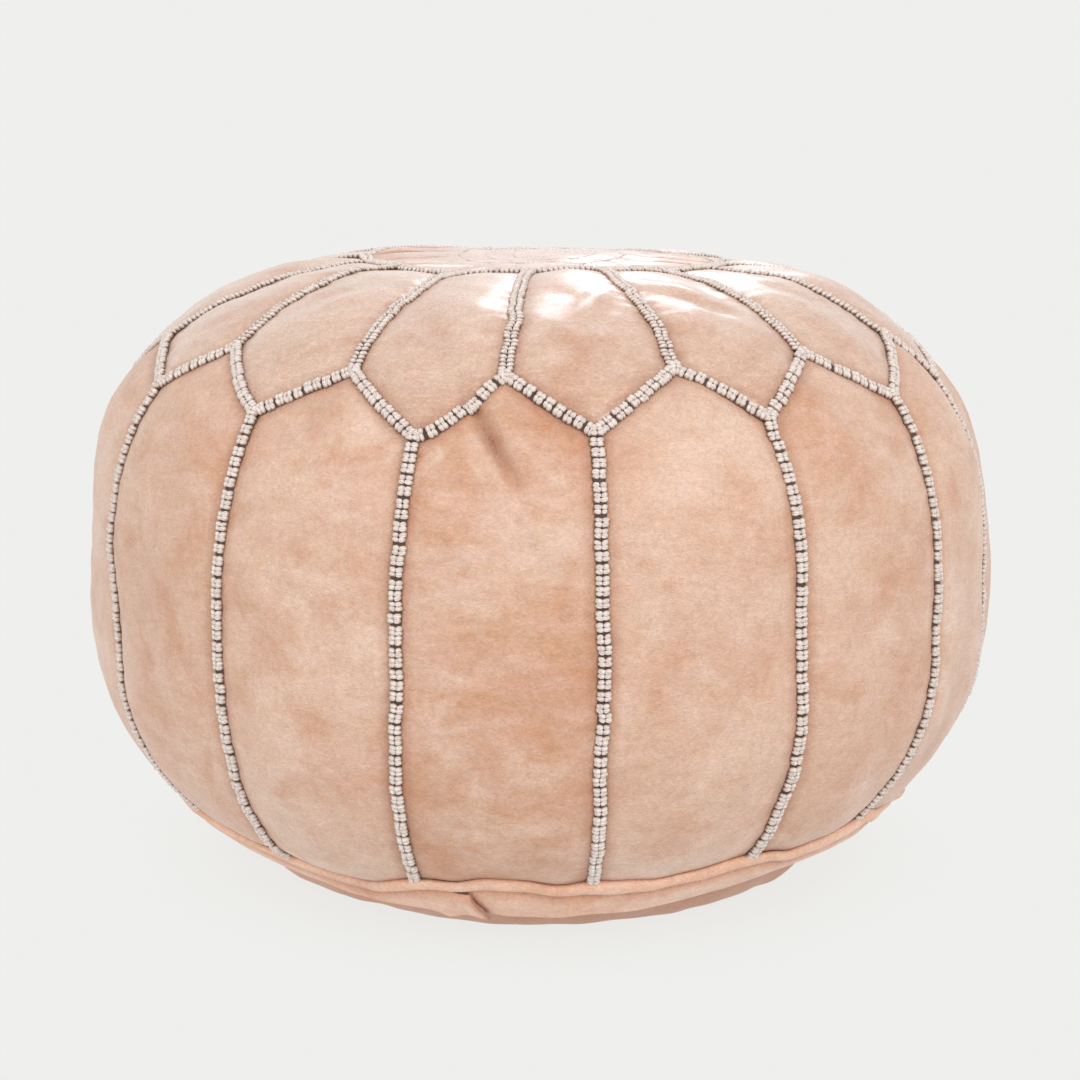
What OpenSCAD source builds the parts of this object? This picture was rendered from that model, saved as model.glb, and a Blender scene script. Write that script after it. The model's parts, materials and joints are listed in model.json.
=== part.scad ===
// Round Moroccan leather pouf: gabled side panels, crown petals, an embroidered centre
// medallion, plaited seam braids and a zipped base, around one solid filling.
// Millimetres, +Z up. The origin is the centre of the face that rests on the floor.
// Vertical seams stand at whole steps from +X, so that one of them faces -Y.

/* [Body] */
// Greatest diameter of the leather, at the equator
body_d = 520; // [480:5:560]
// Height from the floor to the middle of the crown
body_h = 347; // [335:1:360]
// Thickness of the leather
leather_t = 2; // [1.6:0.1:2.4]
// Squareness of the profile above the equator, where 2 is an ellipse
upper_power = 2.9; // [2.4:0.1:3.2]
// Squareness of the profile below the equator
lower_power = 2.3; // [2.1:0.1:2.6]

/* [Panels] */
// Number of side panels and of crown petals
panel_count = 16; // [14:2:18]
// Radius of the zigzag seam where it meets a vertical seam
zigzag_low_r = 234; // [230:1:238]
// Radius of the zigzag seam where it meets a crown seam
zigzag_high_r = 211; // [205:1:216]
// Corner radius of the polygonal ring around the medallion
ring_r = 103; // [96:1:110]
// Radius of the inner corners of the medallion's star
star_notch_r = 62; // [56:1:68]

/* [Braids] */
// Width of a seam braid
braid_w = 8; // [6:0.5:9]
// Height of a seam braid above the leather
braid_h = 3; // [2:0.2:3.6]
// Width of the embroidery lines on the medallion
embroidery_w = 2.4; // [1.6:0.2:3]
// Height of the embroidery above the leather
embroidery_h = 1.4; // [1:0.2:2]

/* [Base] */
// Radius of the rolled welt around the foot
welt_r = 3; // [2.4:0.2:3.4]
// Height of the welt's middle line above the floor
welt_z = 38.6; // [38:0.2:40]
// Height of the seam between the base band and the base disc
band_low_z = 20; // [18:0.5:22]
// Depth of the valley in which the zip lies
valley_z = 9; // [8.5:0.1:9.5]
// Half of the length of the valley's flat roof
valley_half_l = 153; // [150:1:154]
// Half of the width of the valley's flat roof
valley_half_w = 13; // [12.5:0.1:14]

/* [Zip] */
// Distance between two teeth on the same tape
tooth_pitch = 3; // [2.6:0.1:3.2]
// Position of the slider along X when the zip is closed
slider_x = 128; // [124:1:130]
// Length of the pull tab from its hinge to its tip
tab_l = 29; // [26:0.5:29]

/* [Hidden] */
$fn = 64;
body_r = body_d / 2;
equator_z = 0.464 * body_h;
upper_h = body_h - equator_z;
lower_h = 0.573 * body_h;
pitch = 360 / panel_count;
half = pitch / 2;
seam_gap = 0.3;
gap_angle = 0.08;
lift = 0.15;
braid_plan_w = 0.82 * braid_w;
edge_gap = welt_r + seam_gap;
join_angle = -105.5;
join_tilt = 25;
disc_top_z = band_low_z - seam_gap;

tape_z = valley_z + leather_t + 0.1;
tape_t = 0.7;
tape_in = 1.7;
tape_out = 12;
tape_half_l = 150;
slot_half_l = 146;
slot_half_w = 7.5;
tooth_low = tape_z - 1.15;
tooth_high = tape_z + tape_t + 1.15;
tooth_l = 1.3;
tooth_head = 1.2;
tooth_back = 4.2;
grip_slit = 0.05;
chain_start = -134;
chain_end = slider_x + 2;
stop_l = 2.5;
plate_t = 1.5;
channel_half = 4.6;
outer_plate_z = tooth_low - 0.75 - plate_t;
inner_plate_z = tooth_high + 0.75;
flange_h = 1.4;
bridge_z = 4;
hinge_z = 6.45;
tab_t = 1.4;
tab_half_w = 4;
tab_hole_r = 2;

leather = "#dcb49b";
petal_leather = "#dfbaa4";
base_leather = "#c99a7c";
braid_thread = "#d8cdc2";
zip_cloth = "#5d4636";
zip_metal = "#b08d4f";
filling = "#e6ddcc";

function two(k) = k < 10 ? str("0", k) : str(k);
function panel_name(k) = str("side_panel_", two(k));
function petal_name(k) = str("crown_petal_", two(k));

// ---- the profile: one superellipse above the equator and another below it ----
// t runs from -90 (far below) through 0 (the equator) to 90 (the middle of the crown).
function power(t) = t < 0 ? lower_power : upper_power;
function half_h(t) = t < 0 ? lower_h : upper_h;
function outline(t) = [
    body_r * pow(cos(t), 2 / power(t)),
    equator_z + sign(t) * half_h(t) * pow(abs(sin(t)), 2 / power(t))
];
function normal(t) =
    let (m = 2 - 2 / power(t),
         v = [pow(cos(t), m) / body_r, sign(t) * pow(abs(sin(t)), m) / half_h(t)])
    v / norm(v);
function skin(t, d) = outline(t) + d * normal(t);
function t_of_r(r) = acos(pow(r / body_r, upper_power / 2));
function t_of_z(z) = -asin(pow((equator_z - z) / lower_h, lower_power / 2));
function arc(t0, t1, d, steps) = [for (i = [0:steps]) skin(t0 + (t1 - t0) * i / steps, d)];
function strip(t0, t1, d0, d1, steps) = concat(arc(t0, t1, d0, steps), arc(t1, t0, d1, steps));

t_floor = t_of_z(0);
t_welt = t_of_z(welt_z);
surface_t = t_of_z(welt_z + 1) - t_welt;
t_foot = t_welt + surface_t * edge_gap * 0.78;
t_band = t_welt - surface_t * edge_gap * 0.78;

// ---- plan shapes: straight edges between a corner on a seam and one half a step away ----
function edge_normal(r0, r1) =
    let (e = [r1 * cos(half) - r0, r1 * sin(half)])
    [e.y, -e.x] / norm(e);
function edge_r(r0, r1, a, d = 0) =
    let (n = edge_normal(r0, r1))
    (n.x * r0 + d) / (n * [cos(a), sin(a)]);
function polar(r, a) = r * [cos(a), sin(a)];
function seam_angle(k) = -90 + pitch * (k - 1);

module star_plan(r0, r1, d = 0)
    polygon([for (i = [0:2 * panel_count - 1]) polar(edge_r(r0, r1, i % 2 == 0 ? 0 : half, d), half * i)]);

module ring_plan(d = 0)
    polygon([for (i = [1:panel_count]) polar(ring_r + d / cos(half), pitch * (i - 0.5))]);

module prism()
    translate([0, 0, equator_z]) linear_extrude(body_h) children();

// A step of the lathe shape between two half-step planes, centred on +X
module wedge(t0, t1, d0, d1, steps)
    rotate([0, 0, gap_angle - half])
        rotate_extrude(angle = pitch - 2 * gap_angle) polygon(strip(t0, t1, d0, d1, steps));

// A strip that stands upright on the +X meridian
module meridian_bar(t0, t1, width, steps)
    rotate([90, 0, 0])
        linear_extrude(width, center = true) polygon(strip(t0, t1, lift, braid_h, steps));

// ---- leather ----
module side_panel(k)
    color(leather) rotate([0, 0, seam_angle(k) + half]) difference() {
        wedge(t_foot, t_of_r(zigzag_high_r - 2), -leather_t, 0, 14);
        rotate([0, 0, half]) prism() star_plan(zigzag_low_r, zigzag_high_r, seam_gap);
    }

module crown_petal(k)
    color(petal_leather) rotate([0, 0, seam_angle(k)]) difference() {
        intersection() {
            wedge(t_of_r(zigzag_low_r + 3), t_of_r(ring_r * cos(half) - 2), -leather_t, 0, 10);
            prism() star_plan(zigzag_low_r, zigzag_high_r, -seam_gap);
        }
        prism() ring_plan(seam_gap);
    }

module crown_cap(d0, d1)
    rotate_extrude() polygon(strip(t_of_r(ring_r + braid_w), 90, d0, d1, 4));

module medallion_star()
    color(petal_leather) intersection() {
        crown_cap(-leather_t, 0);
        prism() intersection() {
            star_plan(star_notch_r, ring_r, -seam_gap / 2);
            ring_plan(-seam_gap);
        }
    }

module medallion_triangle() {
    corners = [polar(ring_r, -half), polar(ring_r, half), [star_notch_r, 0]];
    middle = (corners[0] + corners[1] + corners[2]) / 3;
    inset = 0.95;
    intersection() {
        crown_cap(-leather_t, 0);
        prism() polygon([for (c = corners) middle + inset * (c - middle)]);
    }
}

module medallion_triangles()
    color(leather) for (k = [1:panel_count]) rotate([0, 0, seam_angle(k)]) medallion_triangle();

module base_welt()
    color(base_leather) rotate_extrude() translate(outline(t_welt)) circle(welt_r);

module base_band()
    color(base_leather) difference() {
        rotate_extrude() polygon(strip(t_of_z(band_low_z + seam_gap), t_band, -leather_t, 0, 4));
        rotate([0, 0, join_angle]) translate([body_r * 0.8, 0, band_low_z + 8])
            rotate([join_tilt, 0, 0]) cube([60, seam_gap, 60], center = true);
    }

// ---- base: a flat disc with a valley for the zip, in two halves ----
module trapezoid(half_w, grow) {
    top = half_w + 0.414 * grow;
    foot = top + valley_z + grow + 1;
    polygon([[-foot, -1], [foot, -1], [top, valley_z + grow], [-top, valley_z + grow]]);
}

module valley(grow = 0)
    intersection() {
        rotate([90, 0, 0]) linear_extrude(120, center = true) trapezoid(valley_half_l, grow);
        rotate([90, 0, 90]) linear_extrude(400, center = true) trapezoid(valley_half_w, grow);
    }

module floor_solid(inset)
    difference() {
        rotate_extrude() polygon(concat(
            [[0, inset]],
            arc(t_of_z(inset * 0.6), t_of_z(band_low_z + 2), -inset, 6),
            [[0, band_low_z + 2]]
        ));
        valley(inset);
    }

module base_disc()
    intersection() {
        difference() {
            floor_solid(0);
            floor_solid(leather_t);
        }
        cylinder(r = body_r, h = disc_top_z);
    }

module half_plan(side)
    difference() {
        translate([-body_r, side < 0 ? -body_r : seam_gap]) square([body_d, body_r - seam_gap]);
        square([2 * slot_half_l, 2 * slot_half_w], center = true);
    }

module base_half(side)
    color(base_leather) intersection() {
        base_disc();
        linear_extrude(body_h) half_plan(side);
    }

// ---- braids and embroidery ----
module crown_seam_braids()
    color(braid_thread) for (k = [1:panel_count]) rotate([0, 0, seam_angle(k) + half])
        meridian_bar(t_of_r(zigzag_high_r - 4.6), t_of_r(ring_r + 5), braid_w, 8);

module zigzag_braid() {
    end = half - gap_angle;
    out = [for (a = [-end, 0, end]) polar(edge_r(zigzag_low_r, zigzag_high_r, abs(a), braid_plan_w / 2), a)];
    in = [for (a = [end, 0, -end]) polar(edge_r(zigzag_low_r, zigzag_high_r, abs(a), -braid_plan_w / 2), a)];
    intersection() {
        wedge(t_of_r(zigzag_low_r + 8), t_of_r(zigzag_high_r - 6), lift, braid_h, 6);
        prism() polygon(concat(out, in));
    }
}

module zigzag_seam_braids()
    color(braid_thread) for (k = [1:panel_count]) rotate([0, 0, seam_angle(k)]) zigzag_braid();

module side_seam_braids()
    color(braid_thread) for (k = [1:panel_count]) rotate([0, 0, seam_angle(k)])
        meridian_bar(t_foot, t_of_r(zigzag_low_r + 6.5), braid_w, 14);

module ring_braid()
    color(braid_thread) intersection() {
        crown_cap(lift, braid_h);
        prism() difference() {
            ring_plan(braid_w / 2);
            ring_plan(-braid_w / 2);
        }
    }

module medallion_embroidery()
    color(braid_thread) intersection() {
        crown_cap(lift, embroidery_h);
        prism() {
            intersection() {
                circle(ring_r * cos(half) - braid_w / 2 - seam_gap);
                difference() {
                    star_plan(star_notch_r, ring_r, embroidery_w / 2);
                    star_plan(star_notch_r, ring_r, -embroidery_w / 2);
                }
            }
            for (r = [0.28, 0.52, 0.76]) difference() {
                circle(r * star_notch_r + embroidery_w / 2);
                circle(r * star_notch_r - embroidery_w / 2);
            }
        }
    }

// ---- filling ----
module stuffing() {
    inset = leather_t + 2;
    color(filling) difference() {
        rotate_extrude() polygon(concat(
            [[0, inset]],
            arc(t_of_z(inset * 0.6), 90, -inset, 24)
        ));
        valley(7.5);
    }
}

// ---- zip ----
module along_x(x0, x1)
    translate([x0, 0, 0]) rotate([90, 0, 90]) linear_extrude(x1 - x0) children();

module zip_tape(side)
    color(zip_cloth) scale([1, side, 1]) translate([-tape_half_l, tape_in, tape_z])
        cube([2 * tape_half_l, tape_out - tape_in, tape_t]);

// Cross-section of a tooth or stop that grips the edge of the tape on +Y
module grip_plan(reach)
    polygon([
        [reach, tooth_low], [tooth_back, tooth_low],
        [tooth_back, tape_z - grip_slit], [tape_in - grip_slit, tape_z - grip_slit],
        [tape_in - grip_slit, tape_z + tape_t + grip_slit], [tooth_back, tape_z + tape_t + grip_slit],
        [tooth_back, tooth_high], [reach, tooth_high]
    ]);

module zip_teeth(side)
    color(zip_metal) mirror([0, side < 0 ? 1 : 0, 0])
        for (x = [chain_start + (side < 0 ? tooth_pitch / 2 : 0) : tooth_pitch : chain_end - tooth_l])
            along_x(x, x + tooth_l) grip_plan(-tooth_head);

module zip_top_stops()
    color(zip_metal) for (side = [0, 1]) mirror([0, side, 0])
        along_x(slider_x + 8.2, slider_x + 8.2 + stop_l) grip_plan(1.4);

module zip_bottom_stop()
    color(zip_metal) difference() {
        translate([chain_start - 1 - stop_l, -tooth_back, tooth_low])
            cube([stop_l, 2 * tooth_back, tooth_high - tooth_low]);
        for (side = [0, 1]) mirror([0, side, 0])
            translate([chain_start - 2 - stop_l, tape_in - grip_slit, tape_z - grip_slit])
                cube([stop_l + 2, tooth_back, tape_t + 2 * grip_slit]);
    }

module slider_plan()
    intersection() {
        polygon([[-7.5, -5.7], [-7.5, 5.7], [1, 6.6], [7.5, 6.6], [7.5, -6.6], [1, -6.6]]);
        circle(9);
    }

module slider_plate(z0, h)
    translate([0, 0, z0]) linear_extrude(h) slider_plan();

module slider_flange(z0)
    translate([0, 0, z0]) linear_extrude(flange_h) difference() {
        slider_plan();
        square([20, 2 * channel_half], center = true);
    }

module slider_bridge()
    rotate([90, 0, 0]) linear_extrude(2.4, center = true) difference() {
        polygon([[-4.8, 7.8], [-4.4, 4.7], [-3.6, bridge_z], [3.6, bridge_z], [4.4, 4.7], [4.8, 7.8]]);
        polygon([[-3.5, 8], [-3.2, 5.3], [3.2, 5.3], [3.5, 8]]);
    }

module zip_slider()
    color(zip_metal) translate([slider_x, 0, 0]) {
        slider_plate(outer_plate_z, plate_t);
        slider_plate(inner_plate_z, plate_t);
        slider_flange(outer_plate_z + plate_t - 0.05);
        slider_flange(inner_plate_z - flange_h + 0.05);
        translate([0, 0, outer_plate_z + 1]) linear_extrude(inner_plate_z - outer_plate_z)
            polygon([[3, 0], [5.4, 1.3], [7.3, 0.9], [7.3, -0.9], [5.4, -1.3]]);
        slider_bridge();
    }

module tab_plan()
    difference() {
        union() {
            translate([-tab_l + tab_half_w, 0]) circle(tab_half_w);
            translate([-tab_l + tab_half_w, -tab_half_w]) square([tab_l - tab_half_w - 6.2, 2 * tab_half_w]);
            translate([-7, -3.4]) square([7, 6.8]);
        }
        translate([-6.2, -1.7]) square([10, 3.4]);
        translate([-tab_l + tab_half_w, 0]) circle(tab_hole_r);
    }

module zip_pull_tab()
    color(zip_metal) translate([slider_x, 0, hinge_z]) {
        translate([0, 0, -tab_t / 2]) linear_extrude(tab_t) tab_plan();
        rotate([90, 0, 0]) cylinder(r = 0.8, h = 6.8, center = true);
    }

for (k = [1:panel_count]) side_panel(k);
for (k = [1:panel_count]) crown_petal(k);
medallion_star();
medallion_triangles();
medallion_embroidery();
ring_braid();
crown_seam_braids();
zigzag_seam_braids();
side_seam_braids();
base_welt();
base_band();
base_half(-1);  // base_disc_front
base_half(1);  // base_disc_back
stuffing();
zip_tape(-1);  // zip_tape_front
zip_tape(1);  // zip_tape_back
zip_teeth(-1);  // zip_teeth_front
zip_teeth(1);  // zip_teeth_back
zip_top_stops();
zip_bottom_stop();
zip_slider();
zip_pull_tab();
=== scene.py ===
"""A round Moroccan leather pouf: stuffed panels, plaited seam braids and a zipped base.

All the leather is one skin. A point on it is named by an azimuth, counted from the seam that
faces -Y towards +X, and by an arc length, counted up the meridian from the floor. Each piece
is a grid in those two numbers, so that neighbours meet under the braid between them.
"""

from __future__ import annotations

import json
import logging
import math
from dataclasses import dataclass, field
from enum import Enum, IntEnum
from typing import Any, Sequence

import bpy
import numpy as np
from mathutils import Matrix, Vector

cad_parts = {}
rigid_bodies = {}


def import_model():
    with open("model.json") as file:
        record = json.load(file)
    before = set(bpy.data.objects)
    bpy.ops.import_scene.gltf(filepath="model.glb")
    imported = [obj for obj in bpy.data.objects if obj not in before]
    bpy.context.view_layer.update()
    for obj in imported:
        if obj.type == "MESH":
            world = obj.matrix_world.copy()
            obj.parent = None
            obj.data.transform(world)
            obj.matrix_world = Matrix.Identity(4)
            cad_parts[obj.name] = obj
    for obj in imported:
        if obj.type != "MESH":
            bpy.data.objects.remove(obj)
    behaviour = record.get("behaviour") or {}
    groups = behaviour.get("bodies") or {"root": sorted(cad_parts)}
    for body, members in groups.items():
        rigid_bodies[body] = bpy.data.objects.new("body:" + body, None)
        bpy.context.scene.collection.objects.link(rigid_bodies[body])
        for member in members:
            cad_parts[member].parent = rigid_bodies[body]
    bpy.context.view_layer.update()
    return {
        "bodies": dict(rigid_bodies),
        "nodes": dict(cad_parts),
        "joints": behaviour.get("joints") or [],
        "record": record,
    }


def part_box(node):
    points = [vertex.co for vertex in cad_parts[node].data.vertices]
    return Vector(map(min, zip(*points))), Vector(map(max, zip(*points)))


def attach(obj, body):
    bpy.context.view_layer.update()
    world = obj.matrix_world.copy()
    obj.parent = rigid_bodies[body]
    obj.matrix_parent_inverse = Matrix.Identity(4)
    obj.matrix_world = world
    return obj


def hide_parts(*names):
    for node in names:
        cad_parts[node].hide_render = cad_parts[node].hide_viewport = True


LOG = logging.getLogger("pouf")
MM = 0.001
PANELS = 16
HALF = PANELS // 2
STEP = 2.0 * math.pi / PANELS
COVER = "cover"


class Seed(IntEnum):
    """Seeds of the separate random draws."""

    BROAD_WAVES = 11
    MIDDLE_WAVES = 12
    FOOT_DRIFT = 21
    MIDDLE_DRIFT = 22
    TOP_DRIFT = 23
    HIGH_DRIFT = 24
    RING_DRIFT = 25
    LOW_RISE = 26
    HIGH_RISE = 27
    FOOT_RISE = 28
    ZIGZAG_SAG = 31
    THREAD = 77
    SEAM_WANDER = 500


# ---------------------------------------------------------------- colours and node helper


def linear(code: str) -> tuple[float, float, float, float]:
    """Turns an sRGB hex colour into a linear one.

    Args:
        code: a colour such as "#dcb49b".

    Returns:
        Red, green, blue and an alpha of one.
    """
    parts = [int(code[i : i + 2], 16) / 255 for i in (1, 3, 5)]
    low = [c / 12.92 if c <= 0.04045 else ((c + 0.055) / 1.055) ** 2.4 for c in parts]
    return (low[0], low[1], low[2], 1.0)


NOISE, RAMP = "ShaderNodeTexNoise", "ShaderNodeValToRGB"
MIX, BUMP = "ShaderNodeMix", "ShaderNodeBump"
BLEND = {"data_type": "RGBA"}
PRODUCT = {"data_type": "RGBA", "blend_type": "MULTIPLY"}
# The numbers of a Mix node's two colour inputs, and of its colour output.
FIRST, SECOND, MIXED = 6, 7, 2


class Finish:
    """A material under construction."""

    def __init__(self, name: str) -> None:
        """Makes an empty material.

        Args:
            name: the material's common name and how its surface was made.
        """
        self.material = bpy.data.materials.new(name)
        self.material.use_nodes = True
        self.tree = self.material.node_tree
        self.tree.nodes.clear()

    def add(
        self,
        kind: str,
        settings: dict[str, Any] | None = None,
        links: dict[str | int, Any] | None = None,
        out: str | int = 0,
        stops: Sequence[tuple[float, str | float]] = (),
    ) -> Any:
        """Adds one node with its settings and links.

        Args:
            kind: the node's type name.
            settings: attributes of the node itself.
            links: input name or number to either an output socket or a plain value.
            out: name or number of the output that is wanted.
            stops: places along a colour ramp and their hex colours or grey levels.

        Returns:
            That output socket, or None for a node that has no outputs.
        """
        node = self.tree.nodes.new(kind)
        for key, value in (settings or {}).items():
            setattr(node, key, value)
        for key, value in (links or {}).items():
            if isinstance(value, bpy.types.NodeSocket):
                self.tree.links.new(value, node.inputs[key])
            else:
                node.inputs[key].default_value = value
        marks = node.color_ramp.elements if stops else ()
        while len(marks) < len(stops):
            marks.new(0.5)
        for mark, (place, tone) in zip(marks, stops):
            mark.position = place
            mark.color = linear(tone) if isinstance(tone, str) else (tone, tone, tone, 1.0)
        return node.outputs[out] if node.outputs else None

    def done(self, surface: Any) -> Any:
        """Joins a shader to the material's output and returns the material."""
        self.add("ShaderNodeOutputMaterial", links={"Surface": surface})
        return self.material


# ---------------------------------------------------------------- finishes


@dataclass(frozen=True)
class VegetableTannedLeather:
    """Vegetable-tanned goatskin, dyed by hand and waxed.

    The hand dyeing leaves sandy, pink and orange clouds with streaks across the hide, the
    goat's fine pebble grain and drawn wrinkles break the light up, painted shade darkens the
    folds, the seams and the underside, and the wax gives a clear satin highlight.
    """

    name: str
    base: str = "#d0a386"
    warm: str = "#c2835b"
    pale: str = "#e4c6b3"
    rose: str = "#d8ac9a"
    # Colour of the grain's real dark specks, and of the painted shade in folds and underneath.
    speck_and_shade: str = "#a05c36"
    roughness: float = 0.46
    grain_mm: float = 1.3
    cloud_mm: float = 60.0
    ior: float = 1.5
    coat: float = 0.14
    coat_roughness: float = 0.26
    sheen: float = 0.2
    wrinkle: float = 0.3

    def build(self) -> Any:
        """Returns the leather material."""
        kit = Finish(self.name)
        place = kit.add("ShaderNodeTexCoord", out="Object")
        wide = kit.add("ShaderNodeMapping", links={"Vector": place, "Scale": (1.0, 1.0, 2.8)})
        # tone is the hide's own paleness; the other two marks set painted shade at the seams, in
        # the folds and underneath.
        tone, seam, painted_shade = (
            kit.add("ShaderNodeAttribute", {"attribute_name": key}, out="Fac")
            for key in ("tone", "seam", "painted_shade"))
        clouds, streaks, blots, mottle, nap, drawn = (
            kit.add(NOISE, links={"Vector": source, "Scale": 1.0 / (size_mm * MM),
                                  "Detail": detail, "Roughness": rough, "Distortion": bend})
            for source, size_mm, detail, rough, bend in (
                (place, self.cloud_mm, 4.0, 0.6, 0.4),
                (wide, 30.0, 7.0, 0.66, 0.7),
                (place, 32.0, 7.0, 0.62, 0.35),
                (place, 3.6, 6.0, 0.75, 0.0),
                (wide, 1.5, 3.0, 0.7, 0.0),
                (wide, 8.0, 7.0, 0.62, 1.3),
            ))
        pores, pebble = (
            kit.add("ShaderNodeTexVoronoi", {"feature": feature},
                    {"Vector": place, "Scale": 1.0 / (size_mm * MM)})
            for feature, size_mm in (("F1", 21.0), ("SMOOTH_F1", self.grain_mm)))
        cloudy, streaky, blotted, faded, mottled, napped, lined, ridges, seam_shaded, specks = (
            kit.add(RAMP, links={"Fac": source}, stops=stops)
            for source, stops in (
                (clouds, [(0.36, self.warm), (0.5, self.base), (0.66, self.pale)]),
                (streaks, [(0.34, self.warm), (0.47, self.base),
                           (0.58, self.rose), (0.7, self.pale)]),
                (blots, [(0.51, 0.0), (0.67, 0.45), (0.8, 0.65)]),
                (blots, [(0.26, 0.75), (0.43, 0.0)]),
                (mottle, [(0.28, 0.84), (0.52, 1.0), (0.78, 1.1)]),
                (nap, [(0.3, 0.8), (0.7, 1.18)]),
                (drawn, [(0.44, 1.0), (0.495, 0.9), (0.505, 0.9), (0.56, 1.0)]),
                (drawn, [(0.4, 0.0), (0.49, 1.0), (0.51, 1.0), (0.6, 0.0)]),
                # Painted shade along the seams, darkest at the seam itself.
                (seam, [(0.0, "#8d5f45"), (0.1, "#dac0ae"), (0.45, "#ffffff")]),
                (pores, [(0.0, 0.75), (0.016, 0.6), (0.026, 0.0)]),
            ))
        colour = cloudy
        for how, factor, layer in (
            (BLEND, 0.5, streaky),
            (BLEND, tone, linear(self.pale)),
            (BLEND, blotted, linear(self.warm)),
            (BLEND, faded, linear(self.pale)),
            (PRODUCT, 0.9, mottled),
            (PRODUCT, 0.8, napped),
            (PRODUCT, 0.6, lined),
            # Painted shade at the seams, in the folds and underneath; then the grain's real dark
            # specks.
            (PRODUCT, 0.75, seam_shaded),
            (BLEND, painted_shade, linear(self.speck_and_shade)),
            (BLEND, specks, linear(self.speck_and_shade)),
        ):
            colour = kit.add(MIX, how, {"Factor": factor, FIRST: colour, SECOND: layer}, MIXED)
        relief = kit.add(BUMP, links={
            "Height": ridges, "Strength": self.wrinkle, "Distance": 0.6 * MM})
        for height, strength, depth_mm in ((mottle, 0.55, 0.6), (pebble, 0.6, 0.45)):
            relief = kit.add(BUMP, links={
                "Height": height, "Strength": strength,
                "Distance": depth_mm * MM, "Normal": relief})
        gloss = kit.add("ShaderNodeMapRange", links={
            "Value": streaks, "From Min": 0.3, "From Max": 0.7,
            "To Min": self.roughness - 0.07, "To Max": self.roughness + 0.09})
        return kit.done(kit.add("ShaderNodeBsdfPrincipled", links={
            "Base Color": colour,
            "Roughness": gloss,
            "Normal": relief,
            "IOR": self.ior,
            "Coat Weight": self.coat,
            "Coat Roughness": self.coat_roughness,
            "Sheen Weight": self.sheen,
        }))


@dataclass(frozen=True)
class TwistedThread:
    """Glossy twisted embroidery thread, plied and laid by hand.

    The plies give fine stripes across each stitch, drawn about twice as coarse as real so that
    they show, with painted shade in their valleys, the viscose a soft silky light, and painted
    shade darkens the lowest parts and the ends of each grain.
    """

    name: str
    base: str = "#f3e7e1"
    shade: str = "#d8c7be"
    bright: str = "#fffaf5"
    ply_mm: float = 1.15
    roughness: float = 0.5
    sheen: float = 0.25
    sheen_roughness: float = 0.4

    def build(self) -> Any:
        """Returns the thread material."""
        kit = Finish(self.name)
        place = kit.add("ShaderNodeTexCoord", out="Object")
        lay, high = (
            kit.add("ShaderNodeAttribute", {"attribute_name": key}, out="Fac")
            for key in ("lay", "rise"))
        turn = 2.0 * math.pi / (self.ply_mm * MM)
        wound = kit.add("ShaderNodeMath", {"operation": "MULTIPLY"}, {0: lay, 1: turn})
        ply = kit.add("ShaderNodeMath", {"operation": "SINE"}, {0: wound})
        fuzz = kit.add(NOISE, links={"Vector": place, "Scale": 1.0 / (1.6 * MM), "Detail": 4.0})
        colour = kit.add(RAMP, links={"Fac": fuzz}, stops=[
            (0.3, self.shade), (0.55, self.base), (0.8, self.bright)])
        # Painted shade in the valleys between plies: the colour times 0.8 to 1 with the ply's
        # height.
        ply_valley_shade = kit.add(RAMP, links={"Fac": kit.add("ShaderNodeMapRange", links={
            "Value": ply, "From Min": -1.0, "From Max": 1.0})}, stops=[(0.0, 0.8), (1.0, 1.0)])
        # Painted shade: dark brown at the foot of each grain and at its ends, none at its top.
        painted_grain_shade = kit.add(RAMP, links={"Fac": high}, stops=[
            (0.1, "#5f4535"), (0.36, "#d9cabf"), (0.58, "#ffffff")])
        for layer in (ply_valley_shade, painted_grain_shade):
            colour = kit.add(MIX, PRODUCT, {"Factor": 1.0, FIRST: colour, SECOND: layer}, MIXED)
        relief = kit.add(BUMP, links={"Height": ply, "Strength": 0.6, "Distance": 0.22 * MM})
        return kit.done(kit.add("ShaderNodeBsdfPrincipled", links={
            "Base Color": colour,
            "Roughness": self.roughness,
            "Normal": relief,
            "Sheen Weight": self.sheen,
            "Sheen Roughness": self.sheen_roughness,
        }))


@dataclass(frozen=True)
class PlainFinish:
    """A finish of one mottled colour: waxed cord, cotton wadding, cast brass or zip cloth.

    Fine noise moves its colour and roughness, and ribs of a stated width mark what is woven.
    """

    name: str
    base: str
    dark: str
    roughness: float
    metallic: float = 0.0
    mottle_mm: float = 3.0
    rib_mm: float = 0.0
    bump_mm: float = 0.1
    sheen: float = 0.0

    def build(self) -> Any:
        """Returns the material."""
        kit = Finish(self.name)
        place = kit.add("ShaderNodeTexCoord", out="Object")
        height = noise = kit.add(NOISE, links={
            "Vector": place, "Scale": 1.0 / (self.mottle_mm * MM), "Detail": 5.0, "Roughness": 0.6})
        if self.rib_mm > 0:
            height = kit.add(
                "ShaderNodeTexWave", {"bands_direction": "DIAGONAL"},
                {"Vector": place, "Scale": 0.31 / (self.rib_mm * MM), "Distortion": 0.4}, "Fac")
        gloss = kit.add("ShaderNodeMapRange", links={
            "Value": noise, "From Min": 0.3, "From Max": 0.7,
            "To Min": max(0.05, self.roughness - 0.08), "To Max": self.roughness + 0.1})
        return kit.done(kit.add("ShaderNodeBsdfPrincipled", links={
            "Base Color": kit.add(RAMP, links={"Fac": noise}, stops=[
                (0.3, self.dark), (0.65, self.base)]),
            "Metallic": self.metallic,
            "Roughness": gloss,
            "Normal": kit.add(BUMP, links={
                "Height": height, "Strength": 0.5, "Distance": self.bump_mm * MM}),
            "Sheen Weight": self.sheen,
        }))


# ---------------------------------------------------------------- meshes


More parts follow.
